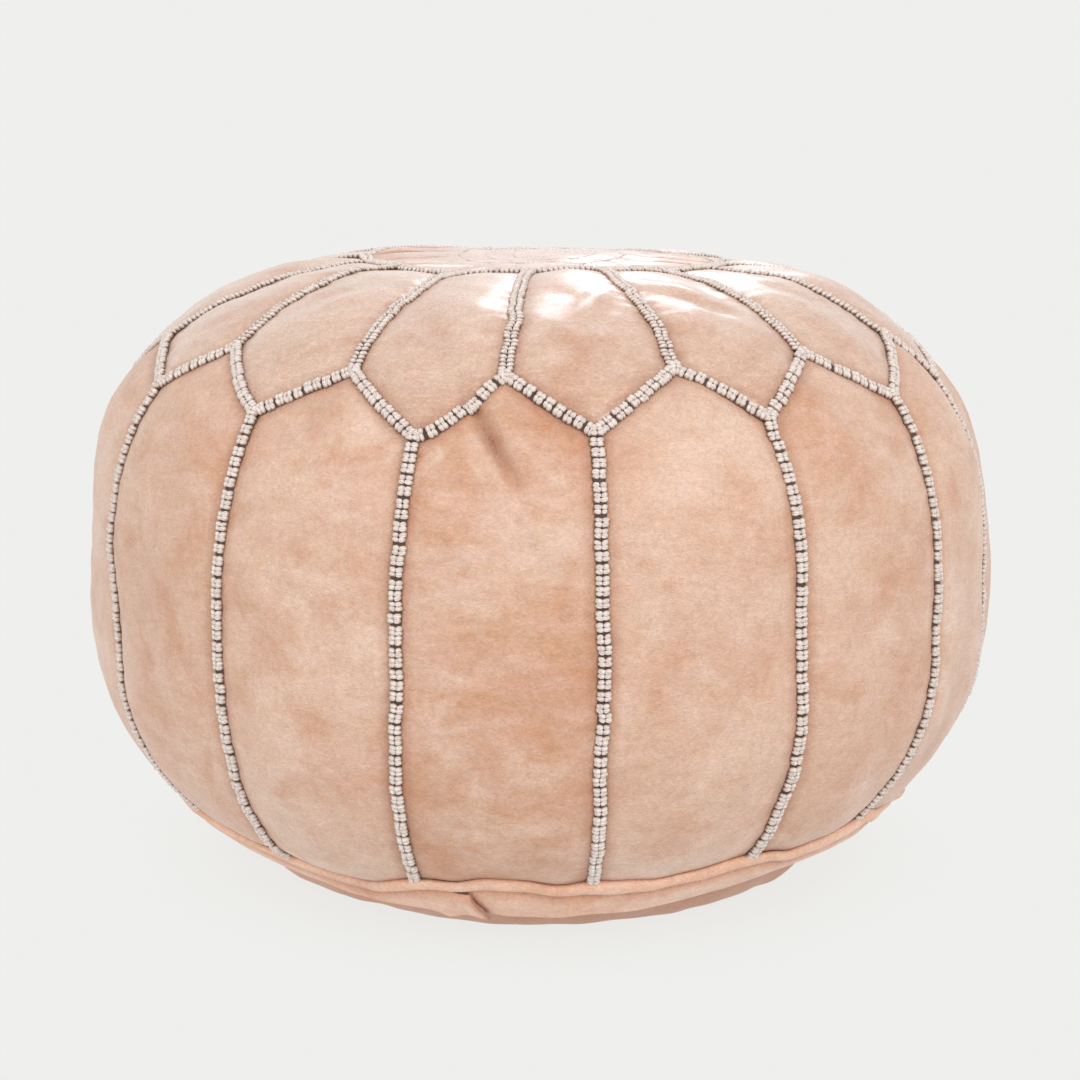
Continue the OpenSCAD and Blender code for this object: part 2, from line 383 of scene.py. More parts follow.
def make_piece(
    name: str,
    points: np.ndarray,
    faces: Sequence[np.ndarray],
    material: Any,
    marks: dict[str, np.ndarray] | None = None,
    sharp: float = 50.0,
) -> Any:
    """Puts worked-out arrays into a mesh object.

    Args:
        name: the object's name.
        points: vertex positions, in metres.
        faces: arrays of vertex numbers, one row for each face.
        material: the only material.
        marks: named numbers, one for each vertex, that the material reads.
        sharp: edges that turn by more degrees than this are drawn sharp.

    Returns:
        The new object, at the origin.
    """
    mesh = bpy.data.meshes.new(name)
    mesh.vertices.add(len(points))
    mesh.vertices.foreach_set("co", np.ascontiguousarray(points, dtype=np.float32).ravel())
    corners = np.concatenate([f.ravel() for f in faces]).astype(np.int32)
    sides = np.concatenate([np.full(len(f), f.shape[1]) for f in faces])
    starts = np.concatenate([[0], np.cumsum(sides)[:-1]]).astype(np.int32)
    mesh.loops.add(len(corners))
    mesh.loops.foreach_set("vertex_index", corners)
    mesh.polygons.add(len(sides))
    mesh.polygons.foreach_set("loop_start", starts)
    mesh.update(calc_edges=True)
    mesh.validate()
    mesh.shade_smooth()
    mesh.set_sharp_from_angle(angle=math.radians(sharp))
    for key, values in (marks or {}).items():
        mark = mesh.attributes.new(key, "FLOAT", "POINT")
        mark.data.foreach_set("value", np.ascontiguousarray(values, dtype=np.float32).ravel())
    mesh.materials.append(material)
    made = bpy.data.objects.new(name, mesh)
    bpy.context.scene.collection.objects.link(made)
    return made


def grid_faces(rows: int, columns: int, closed: bool = False) -> np.ndarray:
    """Quads of a grid whose first direction crossed with its second points outwards.

    Args:
        rows: points in the first direction.
        columns: points in the second direction.
        closed: whether the last row joins the first.

    Returns:
        Vertex numbers, four to a face.
    """
    i = np.arange(rows if closed else rows - 1)[:, None]
    j = np.arange(columns - 1)[None, :]
    k = (i + 1) % rows
    a, b = i * columns + j, k * columns + j
    return np.stack([a, b, b + 1, a + 1], axis=-1).reshape(-1, 4)


def shell_faces(rows: int, columns: int, closed: bool = False) -> np.ndarray:
    """Quads of a closed wall: an outer grid, an inner grid after it, and the rims between.

    Args:
        rows: points in the first direction.
        columns: points in the second direction.
        closed: whether the last row joins the first.

    Returns:
        Vertex numbers, four to a face.
    """
    size = rows * columns
    outer = grid_faces(rows, columns, closed)
    inner = outer[:, ::-1] + size
    i = np.arange(rows if closed else rows - 1)
    k = (i + 1) % rows
    low, low2 = i * columns, k * columns
    high, high2 = low + columns - 1, low2 + columns - 1
    parts = [
        outer,
        inner,
        np.stack([low, low + size, low2 + size, low2], axis=-1),
        np.stack([high, high2, high2 + size, high + size], axis=-1),
    ]
    if not closed:
        j = np.arange(columns - 1)
        last = (rows - 1) * columns + j
        parts.append(np.stack([j, j + 1, j + 1 + size, j + size], axis=-1))
        parts.append(np.stack([last, last + size, last + 1 + size, last + 1], axis=-1))
    return np.concatenate(parts)


def capped_faces(rows: int, columns: int) -> list[np.ndarray]:
    """Faces of a closed form: a grid that runs all the way round, and a cap at each end.

    Args:
        rows: points round it.
        columns: points from one end to the other.

    Returns:
        The quads, the cap at the first end and the cap at the last.
    """
    ends = np.arange(rows) * columns
    return [
        grid_faces(rows, columns, closed=True), ends[None, ::-1], (ends + columns - 1)[None, :]]


def torus_faces(around: int, section: int) -> np.ndarray:
    """Quads of a grid that is closed both ways, wound to face outwards."""
    i = np.arange(around)[:, None] * section
    j = np.arange(section)[None, :]
    i2, j2 = (i + section) % (around * section), (j + 1) % section
    return np.stack([i + j, i + j2, i2 + j2, i2 + j], axis=-1).reshape(-1, 4)


def normals_of(grid: np.ndarray) -> np.ndarray:
    """Unit normals of a grid of points: the cross product of its two central differences."""
    across = np.gradient(grid, axis=0)
    along = np.gradient(grid, axis=1)
    normal = np.cross(across, along)
    return normal / np.maximum(np.linalg.norm(normal, axis=-1, keepdims=True), 1e-12)


def smooth(low: float, high: float, value: np.ndarray) -> np.ndarray:
    """The smooth step from 0 at low to 1 at high: 3t squared less 2t cubed."""
    t = np.clip((value - low) / (high - low), 0.0, 1.0)
    return t * t * (3.0 - 2.0 * t)


class Waves:
    """A smooth random field: the sum of sine waves of random direction, length and phase."""

    def __init__(self, seed: int, longest: float, shortest: float, count: int = 22) -> None:
        """Draws the waves.

        Args:
            seed: seed of the draw.
            longest: the longest wave, in metres.
            shortest: the shortest wave, in metres.
            count: how many waves.
        """
        draw = np.random.default_rng(seed)
        heading = draw.normal(size=(count, 3))
        heading /= np.linalg.norm(heading, axis=1, keepdims=True)
        length = longest * (shortest / longest) ** draw.random(count)
        self.wave = heading * (2.0 * math.pi / length)[:, None]
        self.phase = draw.random(count) * 2.0 * math.pi
        self.share = (length / longest) ** 0.7
        self.share /= math.sqrt(0.5 * float(np.sum(self.share**2)))

    def at(self, points: np.ndarray) -> np.ndarray:
        """The field at an array of points, with a spread of about one."""
        return np.sin(points @ self.wave.T + self.phase) @ self.share


# ---------------------------------------------------------------- the skin


@dataclass
class Profile:
    """The meridian: a superellipse above the equator and another below, cut at the floor.

    With an angle t, the radius is R cos(t)^(2/n), the height is the equator's plus
    h sin(t)^(2/n), and each half has its own power n and half height h.
    """

    radius: float
    height: float
    equator_share: float = 0.464
    lower_share: float = 0.573
    upper_power: float = 2.9
    lower_power: float = 2.3
    samples: int = 8000
    arc: np.ndarray = field(init=False, repr=False)
    curve: np.ndarray = field(init=False, repr=False)
    equator_arc: float = field(init=False)

    def __post_init__(self) -> None:
        """Samples the curve, its normals and its arc length from the floor."""
        t = np.linspace(-0.495 * math.pi, 0.5 * math.pi, self.samples)
        low = t < 0
        power = np.where(low, self.lower_power, self.upper_power)
        equator = self.equator_share * self.height
        half = np.where(low, self.lower_share * self.height, self.height - equator)
        cos, sin = np.clip(np.cos(t), 0, 1), np.sin(t)
        r = self.radius * cos ** (2 / power)
        z = equator + np.sign(sin) * half * np.abs(sin) ** (2 / power)
        nr = cos ** (2 - 2 / power) / self.radius
        nz = np.sign(sin) * np.abs(sin) ** (2 - 2 / power) / half
        size = np.hypot(nr, nz)
        table = np.stack([r, z, nr / size, nz / size])[:, z >= 0]
        steps = np.hypot(np.diff(table[0]), np.diff(table[1]))
        self.arc = np.concatenate([[0.0], np.cumsum(steps)])
        self.curve = table
        self.equator_arc = float(np.interp(equator, table[1], self.arc))

    @property
    def total(self) -> float:
        """Arc length from the floor to the middle of the crown."""
        return float(self.arc[-1])

    def at(self, s: np.ndarray) -> tuple[np.ndarray, ...]:
        """Radius, height and the normal's two parts at arc lengths s."""
        return tuple(np.interp(s, self.arc, row) for row in self.curve)

    def arc_at_radius(self, radius: Any) -> Any:
        """Arc length of a radius above the equator."""
        upper = self.arc >= self.equator_arc
        return np.interp(-np.asarray(radius), -self.curve[0][upper], self.arc[upper])

    def arc_at_height(self, height: float) -> float:
        """Arc length of a height below the equator."""
        return float(np.interp(height, self.curve[1], self.arc))


@dataclass(frozen=True)
class Fold:
    """A soft fold in the leather: a Gaussian ridge, or a groove when its rise is negative.

    steps counts seams from the front one, up is the arc length of its middle, and lean turns
    its line from the meridian towards the next seam.
    """

    steps: float
    up_mm: float
    lean_deg: float
    long_mm: float
    wide_mm: float
    rise_mm: float

    def at(self, theta: np.ndarray, s: np.ndarray, radius: float) -> np.ndarray:
        """Height of the fold: rise times exp(-(across/wide)^2) times exp(-(along/long)^2)."""
        turn = np.angle(np.exp(1j * (theta - self.steps * STEP)))
        x, y = turn * radius, s - self.up_mm * MM
        lean = math.radians(self.lean_deg)
        along = x * math.sin(lean) - y * math.cos(lean)
        across = x * math.cos(lean) + y * math.sin(lean)
        fall = (across / (self.wide_mm * MM)) ** 2 + (along / (self.long_mm * MM)) ** 2
        return self.rise_mm * MM * np.exp(-fall)


FOLDS: tuple[Fold, ...] = (
    Fold(-0.54, 305, 31, 30, 2.9, -3.9),
    Fold(-0.50, 302, 31, 27, 5.6, -4.0),
    Fold(-0.30, 264, 24, 18, 7.5, 3.6),
    Fold(-0.38, 300, 30, 26, 8.0, 2.2),
    Fold(-0.62, 330, 18, 14, 7, -1.6),
    Fold(0.16, 292, 6, 22, 8, 1.8),
    Fold(0.50, 338, -30, 20, 8, -1.6),
    Fold(1.45, 330, 24, 26, 8, -1.8),
    Fold(-1.55, 320, -26, 30, 9, -1.6),
    Fold(1.02, 395, 60, 30, 8, -2.2),
    Fold(0.95, 410, 55, 34, 9, 2.0),
    Fold(0.10, 400, -40, 28, 9, 1.6),
    Fold(-1.00, 372, 40, 32, 8, -1.8),
    Fold(-1.95, 392, -45, 30, 9, 1.6),
    Fold(2.10, 402, 50, 30, 9, -1.8),
    Fold(-2.60, 180, 12, 60, 12, -1.6),
    Fold(2.40, 150, -14, 70, 14, -1.8),
)


@dataclass
class Skin:
    """The whole leather surface: the profile, its slow unevenness and its folds."""

    profile: Profile
    folds: tuple[Fold, ...] = FOLDS
    broad: Waves = field(default_factory=lambda: Waves(Seed.BROAD_WAVES, 0.15, 0.055))
    middle: Waves = field(default_factory=lambda: Waves(Seed.MIDDLE_WAVES, 0.04, 0.014))
    broad_mm: float = 1.1
    middle_mm: float = 0.22
    tuck_mm: float = 7.6
    under_mm: float = 6.5
    crown_mm: float = 3.6
    shoulder_mm: float = 3.2
    waist_mm: float = 1.8
    facing: float = 0.112
    fold_share: float = 0.96
    # How deep a fold is for the most painted shade in it, and that most.
    shade_depth: float = 14 * MM
    most_shade: float = 0.45

    def shape(self, theta: np.ndarray, s: np.ndarray) -> np.ndarray:
        """Slow departures from the round profile, in metres.

        With a the azimuth from the pouf's long way, the sides draw in towards the floor by a
        share (1 - cos 2a) / 2 of the tuck, and near it by a share sin^2 2a of the under. The
        crown is pressed flat in the middle, and one shoulder and the waist across from it
        stand back by Gaussians of the arc length times sin^2 a.

        Args:
            theta: azimuths.
            s: arc lengths.

        Returns:
            How far the skin stands out from the profile.
        """
        turn = theta + self.facing
        right = np.sin(turn)
        around = 0.5 - 0.5 * np.cos(2 * turn)
        between = np.maximum(np.sin(2 * turn) ** 2, 0.45 * around)
        lower = self.tuck_mm * around * (1 + 0.12 * right) * (1 - smooth(0.03, 0.15, s))
        under = (self.under_mm + 2.0 * right) * between * (1 - smooth(0.030, 0.064, s))
        total = self.profile.total
        crown = self.crown_mm * smooth(total - 0.15, total - 0.06, s)
        shoulder, waist = (
            size_mm * np.exp(-((s - up) / 0.06) ** 2) * np.maximum(side, 0) ** 2
            for size_mm, up, side in (
                (self.shoulder_mm, 0.30, right), (self.waist_mm, 0.18, -right)))
        return -(lower + under + crown + shoulder + waist) * MM

    def creases(self, theta: np.ndarray, s: np.ndarray) -> np.ndarray:
        """The summed height of all the folds."""
        radius = self.profile.radius * self.fold_share
        return sum(fold.at(theta, s, radius) for fold in self.folds)

    def place(
        self, theta: np.ndarray, s: np.ndarray, lift: np.ndarray | float
    ) -> tuple[np.ndarray, np.ndarray]:
        """Points of the skin and the profile's normals there.

        The lift, the waves and the folds are added along the normal, and the last two fade
        out towards the floor.

        Args:
            theta: azimuths.
            s: arc lengths.
            lift: how far along the normal each point is moved, in metres.

        Returns:
            Points and unit normals, each with a last axis of three.
        """
        r, z, nr, nz = self.profile.at(s)
        sin, cos = np.sin(theta), np.cos(theta)
        normal = np.stack([nr * sin, -nr * cos, nz + 0 * theta], axis=-1)
        base = np.stack([r * sin, -r * cos, z + 0 * theta], axis=-1)
        fade = smooth(0.012, 0.07, z)
        rough = self.broad_mm * self.broad.at(base) + self.middle_mm * self.middle.at(base)
        rise = lift + self.shape(theta, s) + fade * (rough * MM + self.creases(theta, s))
        return base + normal * rise[..., None], normal

    def painted_shade(self, theta: np.ndarray, s: np.ndarray) -> np.ndarray:
        """How much painted shade darkens the grooves: more where the folds are deeper, up to a
        most.
        """
        return np.clip(-self.creases(theta, s) / self.shade_depth, 0, self.most_shade)


def spread(marks: dict[float, float], steps: np.ndarray, seed: int, size: float) -> np.ndarray:
    """A hand-worked drift round the pouf: set values at some seams, drawn ones elsewhere.

    Neighbouring values are joined by a cosine ease.

    Args:
        marks: drift at seam counts from the front seam, in half steps.
        steps: seam counts to evaluate.
        seed: seed for the seams that have no set value.
        size: spread of the drawn values.

    Returns:
        The drift at each count.
    """
    draw = np.random.default_rng(seed)
    drawn = draw.normal(0.0, size, 2 * PANELS)
    known = np.array([marks.get(k / 2 - HALF, drawn[k]) for k in range(2 * PANELS)])
    at = (steps + HALF) * 2
    low = np.floor(at).astype(int)
    ease = 0.5 - 0.5 * np.cos(math.pi * (at - low))
    return known[low % (2 * PANELS)] * (1 - ease) + known[(low + 1) % (2 * PANELS)] * ease


@dataclass
class SeamPlan:
    """Where every seam runs on the skin, with the small drifts of hand sewing.

    A vertical seam's azimuth is its step plus a parabola through a drift at its foot, its
    middle and its top. The zigzag and ring seams are arc lengths that depend on the azimuth.
    Drifts are in degrees and rises in millimetres, by the count of seams from the front one.
    """

    profile: Profile
    low_share: float = 0.9
    high_share: float = 0.8115
    ring_share: float = 0.396
    foot_height: float = 42.5 * MM
    band_foot_arc: float = 35.0 * MM
    spare: int = 2
    drift_deg: float = 0.6
    rise_mm: float = 2.0
    foot_mm: float = 1.5
    side_wander_mm: float = 0.8
    crown_wander_mm: float = 0.9
    middle_share: float = 0.7
    sag_mm: float = 0.4
    sag_spread_mm: float = 1.1
    deep_sag: int = 18
    deep_sag_mm: float = -4.6

    top_drift: dict[float, float] = field(default_factory=lambda: {
        -3: 0.8, -2: 0.9, -1: 1.4, 0: 0.1, 1: -0.3, 2: 1.6, 3: -3.0})
    middle_drift: dict[float, float] = field(default_factory=lambda: {
        -3: -1.6, -2: 0.2, -1: 0.8, 0: 0.2, 1: 1.0, 2: 2.1, 3: 0.0})
    foot_drift: dict[float, float] = field(default_factory=lambda: {
        -3: 0.0, -2: -1.6, -1: -0.8, 0: 1.0, 1: 0.8, 2: -0.8, 3: 0.0})
    high_drift: dict[float, float] = field(default_factory=lambda: {
        -3.5: 0.2, -2.5: 0.2, -1.5: 1.5, -0.5: 0.2, 0.5: 0.6, 1.5: -0.5, 2.5: 3.0})
    ring_drift: dict[float, float] = field(default_factory=lambda: {
        -2.5: -1.4, -1.5: 1.7, -0.5: 0.7, 0.5: -0.5, 1.5: 0.8})
    low_rise: dict[float, float] = field(default_factory=lambda: {
        -3: 1, -2: -3, -1: -11, 0: -6, 1: -1, 2: 5, 3: 8})
    high_rise: dict[float, float] = field(default_factory=lambda: {
        -3.5: -4, -2.5: 2, -1.5: -6, -0.5: -7, 0.5: 1, 1.5: 4, 2.5: 9})
    foot_rise: dict[float, float] = field(default_factory=lambda: {
        -3.5: -5, -3: -5, -2.5: -7, -2: -18, -1.5: -25, -1: -8, -0.5: 0, 0: -3.5, 0.5: -4.5,
        1: 6, 1.5: 3, 2: 8.5, 2.5: -1, 3: -6, 3.5: -6})

    def turn(self, marks: dict[float, float], count: float, seed: int) -> float:
        """One seam's drift in radians at one place."""
        there = np.array([float(count)])
        return math.radians(float(spread(marks, there, seed, self.drift_deg)[0]))

    def raised(self, marks: dict[float, float], count: float, seed: int, share: float) -> float:
        """Arc length of a corner of the zigzag: that of a share of the radius, and a rise."""
        rise = float(spread(marks, np.array([float(count)]), seed, self.rise_mm)[0]) * MM
        return float(self.profile.arc_at_radius(share * self.profile.radius)) + rise

    def wander(self, count: float, v: np.ndarray, size_mm: float) -> np.ndarray:
        """Side to side wander of a sewn line: three sines of random phase, still at both ends."""
        draw = np.random.default_rng(int(count * 2) + Seed.SEAM_WANDER)
        phase = draw.random(3) * 2 * math.pi
        waves = sum(
            size * np.sin(turns * v + start)
            for size, turns, start in zip((1.0, 0.5, 0.3), (7, 17, 41), phase))
        return size_mm * MM * np.sin(math.pi * np.clip(v, 0, 1)) * waves

    def vertical(self, count: int, v: np.ndarray) -> np.ndarray:
        """Azimuth of a vertical seam at shares v of its length."""
        foot = self.turn(self.foot_drift, count, Seed.FOOT_DRIFT)
        middle = self.turn(self.middle_drift, count, Seed.MIDDLE_DRIFT)
        top = self.turn(self.top_drift, count, Seed.TOP_DRIFT)
        a, b, c = 0.0, self.middle_share, 1.0
        bend = (
            foot * (v - b) * (v - c) / ((a - b) * (a - c))
            + middle * (v - a) * (v - c) / ((b - a) * (b - c))
            + top * (v - a) * (v - b) / ((c - a) * (c - b))
        )
        wander = self.wander(count, v, self.side_wander_mm)
        return count * STEP + bend + wander / self.profile.radius

    def crown(self, count: float, v: np.ndarray) -> np.ndarray:
        """Azimuth of a crown seam at shares v from the zigzag to the ring."""
        low = self.turn(self.high_drift, count, Seed.HIGH_DRIFT)
        high = self.turn(self.ring_drift, count, Seed.RING_DRIFT)
        bend = low + (high - low) * v
        wander = self.wander(count, v, self.crown_wander_mm)
        return count * STEP + bend + wander / (0.6 * self.profile.radius)

    def low_point(self, count: int) -> tuple[float, float]:
        """Azimuth and arc length where a vertical seam meets the zigzag."""
        arc = self.raised(self.low_rise, count, Seed.LOW_RISE, self.low_share)
        return float(self.vertical(count, np.array(1.0))), arc

    def high_point(self, count: float) -> tuple[float, float]:
        """Azimuth and arc length where a crown seam meets the zigzag."""
        arc = self.raised(self.high_rise, count, Seed.HIGH_RISE, self.high_share)
        return float(self.crown(count, np.array(0.0))), arc

    def corners(self) -> tuple[np.ndarray, np.ndarray]:
        """All corners of the zigzag, once round and a few spare, in order of azimuth."""
        points = []
        for count in range(-HALF - self.spare, HALF + self.spare + 1):
            here = (count + HALF) % PANELS - HALF
            shift = (count - here) * STEP
            for spot in (self.low_point(here), self.high_point(here + 0.5)):
                points.append((spot[0] + shift, spot[1]))
        theta, arc = np.array(points).T
        return theta, arc

    def zigzag(self, theta: np.ndarray) -> np.ndarray:
        """Arc length of the zigzag seam: straight between corners, with a small sag."""
        xs, ys = self.corners()
        turn = np.mod(theta + math.pi, 2 * math.pi) - math.pi
        index = np.clip(np.searchsorted(xs, turn) - 1, 0, len(xs) - 2)
        share = (turn - xs[index]) / (xs[index + 1] - xs[index])
        draw = np.random.default_rng(Seed.ZIGZAG_SAG)
        sags = draw.normal(self.sag_mm, self.sag_spread_mm, len(xs))
        sags[self.deep_sag :: 2 * PANELS] = self.deep_sag_mm
        early = np.sin(math.pi * share) * np.where(index % 2 == 0, 1 - share, share) * 1.8
        return ys[index] + (ys[index + 1] - ys[index]) * share + sags[index] * MM * early

    def ring(self, theta: np.ndarray) -> np.ndarray:
        """Arc length of the ring, a polygon: radius r cos(half step)/cos(angle from side)."""
        local = np.mod(theta, STEP)
        local = np.minimum(local, STEP - local)
        radius = self.ring_share * self.profile.radius * math.cos(STEP / 2) / np.cos(local)
        return self.profile.arc_at_radius(radius)

    def foot(self, theta: np.ndarray) -> np.ndarray:
        """Arc length of the lower edge of the side panels."""
        steps = np.mod(theta / STEP + HALF, PANELS) - HALF
        rise = spread(self.foot_rise, steps, Seed.FOOT_RISE, self.foot_mm)
        ripple = 0.9 * np.sin(theta * 31 + 0.6) + 0.6 * np.sin(theta * 53 + 2.0)
        return self.profile.arc_at_height(self.foot_height) + (rise + ripple) * MM

    def band_foot(self, theta: np.ndarray) -> np.ndarray:
        """Arc length of the lower edge of the base band, which copies a little of the foot."""
        drift = self.foot(theta) - self.profile.arc_at_height(self.foot_height)
        ripple = 0.8 * np.sin(theta * 23 + 1.0) + 0.5 * np.sin(theta * 41)
        droop = 2.8 * np.maximum(np.cos(theta + 0.55), 0) ** 16
        return self.band_foot_arc + 0.25 * drift + (ripple - droop) * MM


def shade(gap: np.ndarray) -> np.ndarray:
    """The painted seam shade on both faces of a wall: 0, darkest, at a seam, growing to 1 at 22 mm
    from it.
    """
    return np.tile(np.clip(gap / (22 * MM), 0, 1).reshape(-1), 2)


@dataclass
class Pouf:
    """What every sub-assembly needs: the frame's sizes, the skin, the seams and the finishes."""

    skin: Skin
    seams: SeamPlan
    finishes: dict[str, Any]
    leather_t: float = 1.8 * MM

    def dress(self, piece: Any, slot: str, *nodes: str, body: str = COVER) -> Any:
        """Hides the nodes that a piece stands for, and puts it on the body that it rides on."""
        if nodes:
            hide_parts(*nodes)
        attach(piece, body)
        LOG.info("%s: %d faces", piece.name, len(piece.data.polygons))
        return piece

    def leather_piece(
        self, name: str, theta: np.ndarray, s: np.ndarray, lift: np.ndarray,
        gap: np.ndarray, tone: float, finish: str, closed: bool = False,
    ) -> Any:
        """Makes a leather wall over a grid of azimuths and arc lengths.

        The inner face is the outer one moved in by the leather's thickness along the true
        normal of the finished grid.

        Args:
            name: the piece's name.
            theta: azimuths of the grid.
            s: arc lengths of the grid.
            lift: height of the padding above the profile.
            gap: distance to the nearest seam, in metres, which sets the painted seam shade.
            tone: how much paler this hide is, from 0 to 1.
            finish: which leather.
            closed: whether the grid runs all the way round.

        Returns:
            The new object.
        """
        outer, _ = self.skin.place(theta, s, lift)
        wrapped = np.concatenate([outer[-1:], outer, outer[:1]])
        normal = normals_of(wrapped)[1:-1] if closed else normals_of(outer)
        points = self.wall(outer, normal)
        # Painted shade in the grooves of the folds.
        painted_shade = self.skin.painted_shade(theta, s) + 0 * gap
        return make_piece(
            name, points, [shell_faces(*theta.shape, closed)], self.finishes[finish],
            {"tone": np.full(len(points), tone), "seam": shade(gap),
             "painted_shade": np.tile(painted_shade.reshape(-1), 2)},
        )

    def wall(self, outer: np.ndarray, normal: np.ndarray) -> np.ndarray:
        """Points of both faces of the leather: the outer grid, then that moved inwards."""
        inner = outer - normal * self.leather_t
        return np.concatenate([outer.reshape(-1, 3), inner.reshape(-1, 3)])


SEAM_PULL = 3.0 * MM
# The distance to the zigzag seam for each unit of height above or below it.
ZIGZAG_LEAN = 0.79


def cushion(
    distances: Sequence[tuple[np.ndarray, float]], pull: float, rise: float
) -> np.ndarray:
    """Height of padded leather: -pull + rise times the product of 1 - exp(-distance/reach)."""
    full = np.ones_like(distances[0][0])
    for distance, reach in distances:
        full = full * (1.0 - np.exp(-np.maximum(distance, 0.0) / reach))
    return -pull + rise * full


def sewn_edge(
    side: np.ndarray, near: np.ndarray, s: np.ndarray, count: int, size_mm: float, wave_mm: float
) -> np.ndarray:
    """Relief beside the seams: size sin(2 pi s / wave + count) exp(-side / 7 mm), and a tuck.

    The tuck goes down into every seam by 1.4 mm exp(-(near / 1.8 mm)^2).

    Args:
        side: distance to the nearer side seam.
        near: distance to the nearest seam.
        s: arc lengths.
        count: the panel's count, which shifts its puckers.
        size_mm: height of the puckers.
        wave_mm: length of one pucker.

    Returns:
        Height above the padding.
    """
    wave = np.sin(2 * math.pi * s / (wave_mm * MM) + count)
    pucker = size_mm * MM * np.exp(-side / (7 * MM)) * wave
    return pucker - 1.4 * MM * np.exp(-((near / (1.8 * MM)) ** 2))


@dataclass
class SidePanels:
    """The gabled panels between the vertical seams, from the welt up to the zigzag."""

    pouf: Pouf
    across: int = 62
    along: int = 130
    rise: float = 4.2 * MM
    reach: float = 14 * MM
    hem_slack: float = 1.2 * MM
    tones: tuple[float, ...] = (
        0.42, 0.26, 0.36, 0.2, 0.34, 0.12, 0.3, 0.18, 0.4, 0.1, 0.28, 0.2, 0.34, 0.3, 0.38, 0.08)

    def build(self) -> None:
        """Makes every side panel."""
        for number in range(PANELS):
            self.panel(number)

    def panel(self, number: int) -> None:
        """Makes the panel between one vertical seam and the next.

        u runs from seam to seam and v from the foot to the zigzag, and the height is a
        cushion that falls to every edge.

        Args:
            number: the seam on its left, counted from the front seam.
        """
        seams = self.pouf.seams
        count = number if number < HALF else number - PANELS
        wrap = PANELS if count == HALF - 1 else 0
        u = np.linspace(0, 1, self.across)[:, None]
        v = np.linspace(0, 1, self.along)[None, :]
        left = seams.vertical(count, v)
        right = seams.vertical(count + 1 - wrap, v) + wrap * STEP
        theta = left + (right - left) * u
        top = seams.zigzag(theta[:, -1:])
        foot = seams.foot(theta[:, :1]) - 1.6 * MM
        s = foot + (top - foot) * v
        radius = self.pouf.skin.profile.at(s)[0]
        side = np.minimum(u, 1 - u) * (radius * (right - left))
        gable = (top - s) * ZIGZAG_LEAN
        hem = s - foot + self.hem_slack
        near = np.minimum(side, gable)
        # This distance sets the painted seam shade, which also darkens the panel's foot.
        gap = np.minimum(near, np.maximum(hem - self.hem_slack, 0) * 1.5)
        padding = cushion(
            [(side, self.reach), (gable, self.reach), (hem, 7 * MM)], SEAM_PULL, self.rise)
        name = f"side_panel_{number + 1:02d}"
        made = self.pouf.leather_piece(
            name + "_leather", theta, s, padding + sewn_edge(side, near, s, count, 0.28, 11),
            gap, self.tones[number], "panel_leather",
        )
        self.pouf.dress(made, "panel_leather", name)


@dataclass
class Crown:
    """The petals between the zigzag and the ring, each centred on a vertical seam's line."""

    pouf: Pouf
    across: int = 45
    along: int = 76
    rise: float = 4.6 * MM
    reach: float = 13 * MM
    tones: tuple[float, ...] = (0.34, 0.4, 0.4, 0.5, 0.3, 0.44, 0.6, 0.34)

    def build(self) -> None:
        """Makes every petal."""
        for number in range(PANELS):
            self.petal(number)

    def petal(self, number: int) -> None:
        """Makes the petal over one vertical seam.

        u runs from one crown seam to the next and v from the zigzag to the ring, and the
        height is a cushion that falls to every edge.

        Args:
            number: that seam, counted from the front seam.
        """
        seams = self.pouf.seams
        count = number if number <= HALF else number - PANELS
        wrap = PANELS if count == HALF else 0
        u = np.linspace(0, 1, self.across)[:, None]
        v = np.linspace(0, 1, self.along)[None, :]
        left = seams.crown(count - 0.5, v)
        right = seams.crown(count + 0.5 - wrap, v) + wrap * STEP
        theta = left + (right - left) * u
        low = seams.zigzag(theta[:, :1])
        top = seams.ring(theta[:, -1:])
        s = low + (top - low) * v
        radius = self.pouf.skin.profile.at(s)[0]
        side = np.minimum(u, 1 - u) * radius * (right - left)
        gable = (s - low) * ZIGZAG_LEAN
        rim = top - s
        near = np.minimum(side, np.minimum(gable, rim))
        padding = cushion(
            [(side, self.reach), (gable, self.reach), (rim, 12 * MM)], SEAM_PULL, self.rise)
        name = f"crown_petal_{number + 1:02d}"
        made = self.pouf.leather_piece(
            name + "_leather", theta, s, padding + sewn_edge(side, near, s, count, 0.3, 9),
            near, self.tones[(number * 5) % len(self.tones)], "petal_leather",
        )
        self.pouf.dress(made, "petal_leather", name)


